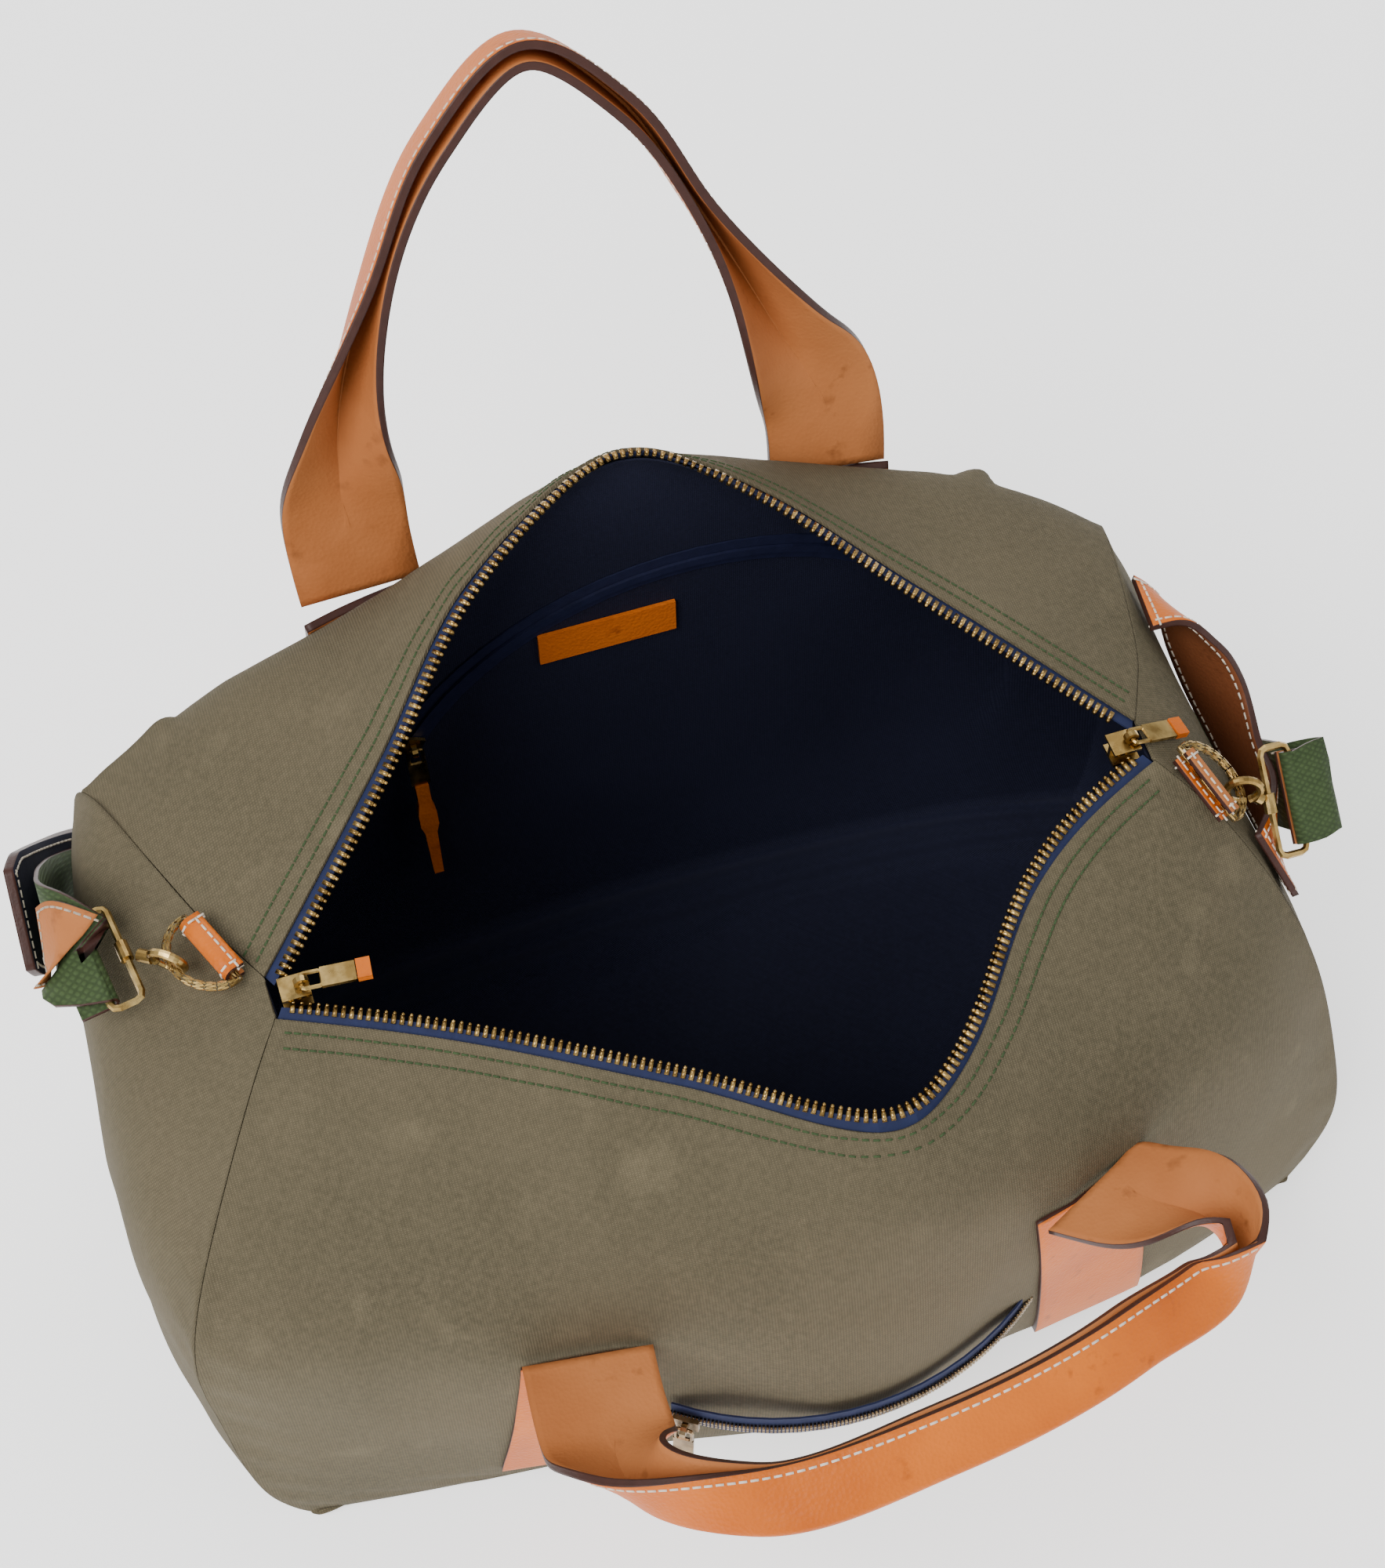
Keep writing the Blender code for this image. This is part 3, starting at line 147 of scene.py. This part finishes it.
def spots(tree, scale, detail=4.0, source=None):
    coords = source or add(tree, "ShaderNodeTexCoord").outputs["Object"]
    return add(tree, "ShaderNodeTexNoise", Vector=coords, Scale=scale, Detail=detail).outputs["Fac"]


def bumped(tree, shader, height, distance, strength=1.0, under=None):
    node = add(tree, "ShaderNodeBump", Height=height, Distance=distance, Strength=strength)
    if under:
        tree.links.new(under, node.inputs["Normal"])
    tree.links.new(node.outputs["Normal"], shader.inputs["Normal"])
    return node.outputs["Normal"]


def threads(tree, pitch, turn=0.0):
    """Crossing threads of a plain weave, from 0 to 1, in the piece's own UV."""
    uv = add(tree, "ShaderNodeUVMap", uv_map="weave").outputs["UV"]
    turned = add(tree, "ShaderNodeMapping", Vector=uv)
    turned.inputs["Rotation"].default_value = (0, 0, turn)
    fac = None
    for direction in ("X", "Y"):
        wave = add(tree, "ShaderNodeTexWave", Vector=turned.outputs["Vector"], Scale=math.pi / 10 / pitch,
                   Distortion=1.2, bands_direction=direction)
        wave.inputs["Detail Scale"].default_value = 1.5
        out = wave.outputs["Fac"]
        if fac is None:
            fac = out
        else:
            node = add(tree, "ShaderNodeMath", operation="MULTIPLY")
            tree.links.new(fac, node.inputs[0])
            tree.links.new(out, node.inputs[1])
            fac = node.outputs[0]
    return fac


def cloth(name, dark, light, pitch, scuff, roughness=0.85, turn=0.0, sheen=0.0):
    mat, tree, shader = finish(name, roughness, specular=0.25, sheen=sheen)
    weave = threads(tree, pitch, turn)
    base = mixed(tree, ramp(tree, spots(tree, 7, 3), 0.30, 0.72), dark, light)
    base = mixed(tree, ramp(tree, spots(tree, 420, 2), 0.3, 1.1), base, tuple(c * 1.15 for c in light))
    scuffs = add(tree, "ShaderNodeMath", operation="MULTIPLY")
    tree.links.new(ramp(tree, spots(tree, 34, 8), 0.60, 0.78), scuffs.inputs[0])
    scuffs.inputs[1].default_value = scuff
    base = mixed(tree, scuffs.outputs[0], base, tuple(min(1, c * 1.9) for c in light))
    base = mixed(tree, ramp(tree, weave, 0.0, 0.5), mixed(tree, 0.35, base, (0, 0, 0)), base)
    tree.links.new(base, shader.inputs["Base Color"])
    under = bumped(tree, shader, spots(tree, 30, 3), 0.0015, 0.5)
    bumped(tree, shader, weave, 0.0003, 0.8, under)
    return mat


def hide(name, dark, light, roughness=0.5, grain=0.9):
    mat, tree, shader = finish(name, roughness, specular=0.22)
    base = mixed(tree, ramp(tree, spots(tree, 14, 6), 0.36, 0.66), dark, light)
    cells = add(tree, "ShaderNodeTexVoronoi", Vector=add(tree, "ShaderNodeTexCoord").outputs["Object"], Scale=620)
    base = mixed(tree, ramp(tree, spots(tree, 90, 6), 0.62, 0.75), base, tuple(c * 0.72 for c in dark))
    tree.links.new(base, shader.inputs["Base Color"])
    under = bumped(tree, shader, spots(tree, 45, 6), 0.0008, 0.5)
    bumped(tree, shader, cells.outputs["Distance"], 0.00025, grain, under)
    return mat


def metal(name, dark, light, roughness=0.28):
    mat, tree, shader = finish(name, roughness, metallic=1.0)
    base = mixed(tree, ramp(tree, spots(tree, 120, 5), 0.40, 0.66), dark, light)
    tree.links.new(base, shader.inputs["Base Color"])
    tree.links.new(ramp(tree, spots(tree, 160, 4), 0.9, -0.3), shader.inputs["Roughness"])
    bumped(tree, shader, spots(tree, 300, 3), 0.0001, 0.4)
    return mat


def plain(name, colour, roughness):
    mat, tree, shader = finish(name, roughness, specular=0.3)
    base = mixed(tree, ramp(tree, spots(tree, 200, 4), 0.3, 0.7), colour, tuple(c * 1.3 for c in colour))
    tree.links.new(base, shader.inputs["Base Color"])
    bumped(tree, shader, spots(tree, 800, 2), 0.0002, 0.6)
    return mat


CANVAS = cloth("waxed_canvas", (0.094, 0.080, 0.045), (0.158, 0.129, 0.078), 0.0011, 0.30)
LINING = cloth("navy_lining", (0.006, 0.007, 0.022), (0.012, 0.014, 0.038), 0.0009, 0.05, 0.8)
TAPE = plain("navy_tape", (0.012, 0.018, 0.058), 0.8)
WEBBING = cloth("green_webbing", (0.032, 0.055, 0.018), (0.060, 0.095, 0.034), 0.0026, 0.1, 0.75, 0.75)
GRAIN = hide("cognac_grain", (0.50, 0.100, 0.005), (0.66, 0.158, 0.012))
FLESH = hide("suede_flesh", (0.36, 0.115, 0.030), (0.47, 0.170, 0.052), 0.75, 0.5)
BROWN = hide("brown_flesh", (0.130, 0.036, 0.012), (0.190, 0.060, 0.022), 0.6, 0.6)
# The pad's grain is the cognac grain at about 0.72 of its brightness: painted shade for the pad's face lying in
# shadow.
PAD_SHADED_GRAIN = hide("pad_leather", (0.36, 0.068, 0.008), (0.48, 0.105, 0.016))
PAINT = plain("painted_edge", (0.040, 0.014, 0.010), 0.45)
FELT = plain("dark_felt", (0.008, 0.009, 0.022), 0.95)
BRASS = metal("antique_brass", (0.30, 0.19, 0.060), (0.62, 0.44, 0.17))
TEETH = metal("brass_teeth", (0.26, 0.16, 0.05), (0.56, 0.38, 0.14), 0.3)
DARK_BRASS = metal("dark_brass", (0.16, 0.11, 0.06), (0.34, 0.25, 0.14))
COIL = plain("navy_coil", (0.010, 0.012, 0.034), 0.5)
WHITE = plain("pale_thread", (0.62, 0.55, 0.45), 0.8)
GREEN = plain("green_thread", (0.035, 0.062, 0.022), 0.8)
BOARD = plain("board", (0.08, 0.08, 0.08), 0.9)
mat, tree, shader = finish("pale_floor", 0.9)
shader.inputs["Base Color"].default_value = (0.93, 0.93, 0.93, 1)
shader.inputs["Emission Color"].default_value = (1, 1, 1, 1)
shader.inputs["Emission Strength"].default_value = 1.0
floor.data.materials.append(mat)


# ---------------------------------------------------------------- cloth panels
# The five canvas panels and the lining are refined from their frame solids:
# smoothed, given folds and slack between their seams, with thin rims in the same cloth.
def panel_mesh(node, levels, wall=None, fits=3):
    """The node's mesh in smooth quads; rim faces have material 1."""
    bm = bmesh.new()
    bm.from_mesh(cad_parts[node].data)
    bmesh.ops.remove_doubles(bm, verts=bm.verts[:], dist=1e-6)
    bmesh.ops.join_triangles(bm, faces=bm.faces[:], angle_face_threshold=3.1, angle_shape_threshold=3.1)
    left, sheets = set(bm.faces), []
    while left:
        stack, sheet = [left.pop()], []
        while stack:
            face = stack.pop()
            sheet.append(face)
            for edge in face.edges:
                for other in edge.link_faces:
                    if other in left and face.normal.angle(other.normal, 3) < 0.95:
                        left.remove(other)
                        stack.append(other)
        sheets.append(sheet)
    areas = [sum(face.calc_area() for face in sheet) for sheet in sheets]
    for sheet, area in zip(sheets, areas):
        for face in sheet:
            face.material_index = 0 if area > 0.12 * max(areas) else 1
            if wall:
                face.material_index = int(sum(edge.calc_length() < wall * 1.4 for edge in face.edges) > 1)
    crease = bm.edges.layers.float.new("crease_edge")
    corner = bm.verts.layers.float.new("crease_vert")
    for edge in bm.edges:
        if len({face.material_index for face in edge.link_faces}) > 1 or edge.calc_face_angle(0) > 0.95:
            edge[crease] = 1.0
    for vert in bm.verts:
        if sum(edge[crease] > 0 for edge in vert.link_edges) > 2:
            vert[corner] = 1.0
    mesh = bpy.data.meshes.new(node + "_cage")
    bm.to_mesh(mesh)
    bm.free()
    cage = bpy.data.objects.new(node + "_cage", mesh)
    bpy.context.collection.objects.link(cage)
    modifier = cage.modifiers.new("smooth", "SUBSURF")
    modifier.levels = modifier.render_levels = levels
    modifier.use_limit_surface = False
    wanted = [vertex.co.copy() for vertex in mesh.vertices]
    for _ in range(fits):
        cage.data.update()
        cage.update_tag()
        bpy.context.view_layer.update()
        smooth = bpy.data.meshes.new_from_object(cage.evaluated_get(bpy.context.evaluated_depsgraph_get()))
        for vertex, place, reached in zip(mesh.vertices, wanted, smooth.vertices):
            vertex.co += (place - reached.co) * 0.8
    bpy.data.objects.remove(cage)
    return smooth


def weave_uv(mesh, across, along):
    layer = mesh.uv_layers.new(name="weave")
    for loop in mesh.loops:
        co = mesh.vertices[loop.vertex_index].co
        layer.data[loop.index].uv = (across @ co, along @ co)


def finished(name, mesh, body, materials, *nodes):
    """Makes the mesh a piece on a body, in its finish, standing for these frame nodes."""
    mesh.shade_smooth()
    for material in materials:
        mesh.materials.append(material)
    obj = bpy.data.objects.new(name, mesh)
    bpy.context.collection.objects.link(obj)
    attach(obj, body)
    if nodes:
        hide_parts(*nodes)
    return obj


def rim_points(mesh):
    found = set()
    for polygon in mesh.polygons:
        if polygon.material_index == 1:
            found.update(polygon.vertices)
    tree = KDTree(len(found))
    for k, index in enumerate(found):
        tree.insert(mesh.vertices[index].co, k)
    tree.balance()
    return tree


def folds(co, seed):
    """Soft creases: ridged noise stretched down the cloth, from -1 to 1."""
    p = Vector((co.x * 9 + seed, co.y * 9, co.z * 5))
    warp = noise.noise_vector(p * 0.7) * 0.9
    broad = noise.noise(p + warp)
    ridge = 1 - 2 * abs(noise.noise(p * 1.9 + warp * 1.4))
    fine = noise.noise(p * 5)
    return 0.9 * broad + 0.35 * (ridge - 0.6) + 0.12 * fine


PANELS = (("front_panel", (0, -1, 0.25), (1, 0, 0), (0, 1, 1), 0.0065),
          ("rear_panel", (0, 1, 0.25), (1, 0, 0), (0, -1, 1), 0.0030),
          ("left_end_panel", (-1, 0, 0.2), (0, 1, 0), (1, 0, 1), 0.0055),
          ("right_end_panel", (1, 0, 0.2), (0, 1, 0), (-1, 0, 1), 0.0035),
          ("base_panel", (0, 0, 1), (1, 0, 0), (0, 1, 0), 0.0))
skins = {}
for node, outward, across, along, depth in PANELS:
    mesh = panel_mesh(node, 3, 0.0015)
    rim = rim_points(mesh)
    outward = Vector(outward).normalized()
    for vertex in mesh.vertices:
        far = min(1.0, rim.find(vertex.co)[2] / 0.030)
        ease = far * far * (3 - 2 * far)
        puckers = 0.0006 * math.sin(vertex.co.z * 260 + vertex.co.x * 190) * (1 - far) * min(1, far * 6)
        vertex.co += outward * (ease * (depth * max(0, 0.5 + 0.6 * folds(vertex.co, len(node)))) + puckers * (depth > 0))
    weave_uv(mesh, Vector(across), Vector(along))
    skins[node] = finished("canvas_" + node.replace("_panel", ""), mesh, "bag", (CANVAS, CANVAS), node)

mesh = panel_mesh("lining", 2, 0.0008, 1)
rim = rim_points(mesh)
centre = Vector((0, 0, 0.17))
for vertex in mesh.vertices:
    inward = centre - vertex.co
    inward.z *= 0.3
    far = min(1.0, rim.find(vertex.co)[2] / 0.05)
    flat = 1.0 if vertex.co.y < 0.135 else 0.0
    raised = min(1.0, max(0.0, (vertex.co.z - 0.02) / 0.05))
    vertex.co += inward.normalized() * 0.0045 * far * flat * raised * max(0, 0.55 + folds(vertex.co, 31))
weave_uv(mesh, Vector((1, 1, 0)), Vector((0, 0, 1)))
finished("lining_cloth", mesh, "bag", (LINING, LINING), "lining")

# ---------------------------------------------------------------- plain pieces
# Frame solids whose shape is already right take their finish and a soft edge.
KEPT = {"base_board": BOARD, "zip_tape_front": TAPE, "zip_tape_rear": TAPE, "pocket_zip_tape": TAPE,
        "inner_zip_tape": COIL, "inner_zip_teeth": COIL}
for name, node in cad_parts.items():
    kept = KEPT.get(name)
    if kept is None and any(k in name for k in ("slider", "puller", "hook", "loop", "adjuster", "d_ring")):
        kept = DARK_BRASS if name.startswith("pocket") else BRASS
        kept = GRAIN if "tab" in name else kept
        soft = node.modifiers.new("edge", "BEVEL")
        soft.width, soft.segments, soft.limit_method = 0.00035, 2, "ANGLE"
        if name.startswith("d_ring"):
            node.modifiers.remove(soft)
            soft = node.modifiers.new("round", "SUBSURF")
            soft.levels = soft.render_levels = 2
    if kept is not None:
        node.data.materials.clear()
        node.data.materials.append(kept)
        node.data.shade_smooth()
        node.data.set_sharp_from_angle(angle=math.radians(50))


# ---------------------------------------------------------------- zip teeth
# One brass tooth every 3.2 mm on both tapes: a clamped body and a round head.
TOOTH_PITCH = 0.0032


def stations(node, gap=0.003):
    """The points of each column of a banded node, from left to right."""
    points = sorted((v.co.copy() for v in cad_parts[node].data.vertices), key=lambda p: p.x)
    groups = [[points[0]]]
    for point in points[1:]:
        if point.x - groups[-1][-1].x > gap:
            groups.append([])
        groups[-1].append(point)
    return groups


def resampled(points, step):
    """Points every step along a polyline, with the tangent there."""
    out, carry = [], 0.0
    for a, b in zip(points, points[1:]):
        length = (b - a).length
        t = carry
        while t < length:
            out.append((a.lerp(b, t / length), (b - a).normalized()))
            t += step
        carry = t - length
    return out


def smoothed(points, rounds=3):
    for _ in range(rounds):
        finer = [points[0]]
        for a, b in zip(points, points[1:]):
            finer += [a.lerp(b, 0.25), a.lerp(b, 0.75)]
        points = finer + [points[-1]]
    return points


def box_faces(bm, place, size, taper=1.0):
    """A box on a frame matrix, its far end scaled by taper."""
    x, y, z = (s / 2 for s in size)
    corners = [(sx * x, sy * y, sz * z) for sx in (-1, 1) for sy in (-1, 1) for sz in (-1, 1)]
    verts = [bm.verts.new(place @ Vector((a, b * (taper if a > 0 else 1), c * (taper if a > 0 else 1))))
             for a, b, c in corners]
    for loop in ((0, 1, 3, 2), (4, 6, 7, 5), (0, 4, 5, 1), (2, 3, 7, 6), (0, 2, 6, 4), (1, 5, 7, 3)):
        bm.faces.new([verts[k] for k in loop])


def frame_at(point, x_axis, z_axis):
    z = z_axis.normalized()
    x = (x_axis - z * x_axis.dot(z)).normalized()
    return Matrix.LocRotScale(point, Matrix((x, z.cross(x), z)).transposed(), None)


for side in ("front", "rear"):
    path = smoothed([sum(g, Vector()) / len(g) for g in stations("zip_teeth_" + side)])
    surface = BVHTree.FromObject(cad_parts["zip_tape_" + side], bpy.context.evaluated_depsgraph_get())
    bm = bmesh.new()
    for point, tangent in resampled(path, TOOTH_PITCH):
        out = point - surface.find_nearest(point)[0]
        out = (out - tangent * out.dot(tangent)).normalized()
        thick = tangent.cross(out)
        body = frame_at(point - out * 0.0016, out, thick)
        box_faces(bm, body, (0.0036, 0.0018, 0.0034), 0.85)
        head = frame_at(point + out * 0.0008, out, thick) @ Matrix.Diagonal((0.9, 0.85, 1.15, 1))
        bmesh.ops.create_icosphere(bm, subdivisions=1, radius=0.0011, matrix=head)
    mesh = bpy.data.meshes.new("teeth_" + side)
    bm.to_mesh(mesh)
    bm.free()
    finished("teeth_" + side, mesh, "bag", (TEETH,), "zip_teeth_" + side)

# The front pocket's chain: two rows of small dark teeth with a slit between.
columns = stations("pocket_zip_teeth", 0.002)
path = smoothed([sum(g, Vector()) / len(g) for g in columns], 1)
bm = bmesh.new()
for point, tangent in resampled(path, 0.0016):
    out = tangent.cross(Vector((0, 0, 1)))
    for side in (-1, 1):
        spot = point + Vector((0, 0, 0.00115 * side))
        box_faces(bm, frame_at(spot, Vector((0, 0, 1)), out), (0.0019, 0.0010, 0.0017), 0.9)
mesh = bpy.data.meshes.new("pocket_chain")
bm.to_mesh(mesh)
bm.free()
finished("pocket_chain", mesh, "bag", (DARK_BRASS,), "pocket_zip_teeth")


# ---------------------------------------------------------------- leather and webbing
# Straps are refined from their frame solids, with painted edges, a flesh side
# and raised stitches set in from the edge.
def sides_of(bm):
    """Two lists of faces: the connected sheets on either side of the rim."""
    left = {f for f in bm.faces if f.material_index == 0}
    sheets = []
    while left:
        stack, sheet = [left.pop()], []
        while stack:
            face = stack.pop()
            sheet.append(face)
            for edge in face.edges:
                for other in edge.link_faces:
                    if other in left:
                        left.remove(other)
                        stack.append(other)
        sheets.append(sheet)
    return sheets


def rim_loops(bm, sheet):
    """Ordered boundary points of a sheet."""
    inside = set(sheet)
    border = [e for e in bm.edges if len([f for f in e.link_faces if f in inside]) == 1]
    links = {}
    for edge in border:
        a, b = edge.verts
        links.setdefault(a, []).append(b)
        links.setdefault(b, []).append(a)
    loops = []
    while links:
        start = next(iter(links))
        loop, before, here = [start.co.copy()], None, start
        while True:
            following = [v for v in links.pop(here) if v is not before and (v in links or v is start)]
            if not following or following[0] is start:
                break
            before, here = here, following[0]
            loop.append(here.co.copy())
        loops.append(loop + [start.co.copy()])
    return loops


def stitched(name, loops, surface, body, material, inset=0.003, pitch=0.0042, size=(0.0030, 0.0008, 0.0006),
             keep=None):
    """Raised stitches along loops, set in from the edge over the surface."""
    bm = bmesh.new()
    for loop in loops:
        for point, tangent in resampled(loop, pitch):
            normal = surface.find_nearest(point)[1]
            inward = normal.cross(tangent)
            best = None
            for sign in (1, -1):
                spot, turned, _, gap = surface.find_nearest(point + inward * sign * inset)
                if spot is not None and (best is None or gap < best[2]):
                    best = (spot, turned, gap)
            if best is None or (keep and not keep(best[0])):
                continue
            box_faces(bm, frame_at(best[0] + best[1] * 0.0001, tangent, best[1]), size)
    mesh = bpy.data.meshes.new(name)
    bm.to_mesh(mesh)
    bm.free()
    return finished(name, mesh, body, (material,))


def strap(node, body, grain, flesh, fleshward, levels=2, thread=WHITE, inset=0.0030,
          sides=("outer", "inner"), keep=None):
    """A refined strap with its stitches; fleshward points out of its inner face."""
    mesh = panel_mesh(node, levels)
    bm = bmesh.new()
    bm.from_mesh(mesh)
    sheets = sides_of(bm)
    fleshward = Vector(fleshward)
    ends = sorted(sheets, key=lambda s: sum((f.normal * f.calc_area()).dot(fleshward) for f in s))
    for face in ends[-1]:
        face.material_index = 2
    trees = []
    for sheet in (ends[0], ends[-1]):
        verts = {v: k for k, v in enumerate({v for f in sheet for v in f.verts})}
        surface = BVHTree.FromPolygons([v.co.copy() for v in verts], [[verts[v] for v in f.verts] for f in sheet])
        trees.append((rim_loops(bm, sheet), surface))
    bm.to_mesh(mesh)
    bm.free()
    weave_uv(mesh, Vector((1, 0, 0)), Vector((0, 1, 1)))
    piece = finished(node + "_leather", mesh, body, (grain, PAINT, flesh), node)
    for word, (loops, surface) in zip(("outer", "inner"), trees):
        if thread and word in sides:
            stitched(node + "_stitches_" + word, loops, surface, body, thread, inset, keep=keep)
    return piece


for place in ("left", "right"):
    strap("front_anchor_" + place, "bag", GRAIN, FLESH, (0, 1, 0), thread=None)
    strap("rear_anchor_" + place, "bag", GRAIN, FLESH, (0, -1, 0), thread=None)
for name, fleshward in (("rear_handle", (0, -0.9, 0.42)), ("front_handle", (0, 0.5, 0.8))):
    low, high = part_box(name)
    foot = (low.z if name == "rear_handle" else high.y)
    axis = 2 if name == "rear_handle" else 1
    strap(name, name, GRAIN, FLESH, fleshward, sides=("outer",),
          keep=lambda spot, axis=axis, foot=foot: abs(spot[axis] - foot) > 0.062)
strap("grab_handle", "bag", GRAIN, BROWN, (-1, 0, 0))
# The pad's grain side takes the darker copy of the cognac grain, painted shade.
strap("strap_pad", "bag", PAD_SHADED_GRAIN, FELT, (1, -0.6, 0))
for place in ("left", "right"):
    strap("strap_tip_" + place, "bag", GRAIN, FLESH, (0, 0, -1), inset=0.0022)
    strap("ring_tab_" + place, "bag", GRAIN, FLESH, (0, 0, -1), inset=0.0026)
strap("webbing", "bag", WEBBING, WEBBING, (0, -1, 0), 1, thread=None)

# The label and the long inner pull are plain leather.
for name in ("inner_label", "inner_pull", "puller_tab_left", "puller_tab_right"):
    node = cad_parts[name]
    node.data.materials.clear()
    node.data.materials.append(GRAIN)

# ---------------------------------------------------------------- canvas topstitch
# Two rows of green thread follow the mouth edge on the front and rear panels.
for side in ("front", "rear"):
    mesh = skins[side + "_panel"].data
    bm = bmesh.new()
    bm.from_mesh(mesh)
    bmesh.ops.delete(bm, geom=[f for f in bm.faces if f.material_index == 1], context="FACES_ONLY")
    surface = BVHTree.FromBMesh(bm)
    bm.free()
    edge = smoothed([sum(g, Vector()) / len(g) for g in stations("zip_teeth_" + side)])
    for row, reach in enumerate((0.0125, 0.0185)):
        bm = bmesh.new()
        for point, tangent in resampled(edge, 0.0034):
            near, _, _, gap = surface.find_nearest(point)
            away = (near - point)
            away = (away - tangent * away.dot(tangent)).normalized()
            spot, turned, _, _ = surface.find_nearest(near + away * (reach - gap) + Vector((0, 0, 0.004)))
            if spot is None:
                continue
            box_faces(bm, frame_at(spot + turned * 0.0001, tangent, turned), (0.0026, 0.0008, 0.0005))
        mesh = bpy.data.meshes.new("topstitch_%s_%d" % (side, row))
        bm.to_mesh(mesh)
        bm.free()
        finished(mesh.name, mesh, "bag", (GREEN,))

low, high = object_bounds()
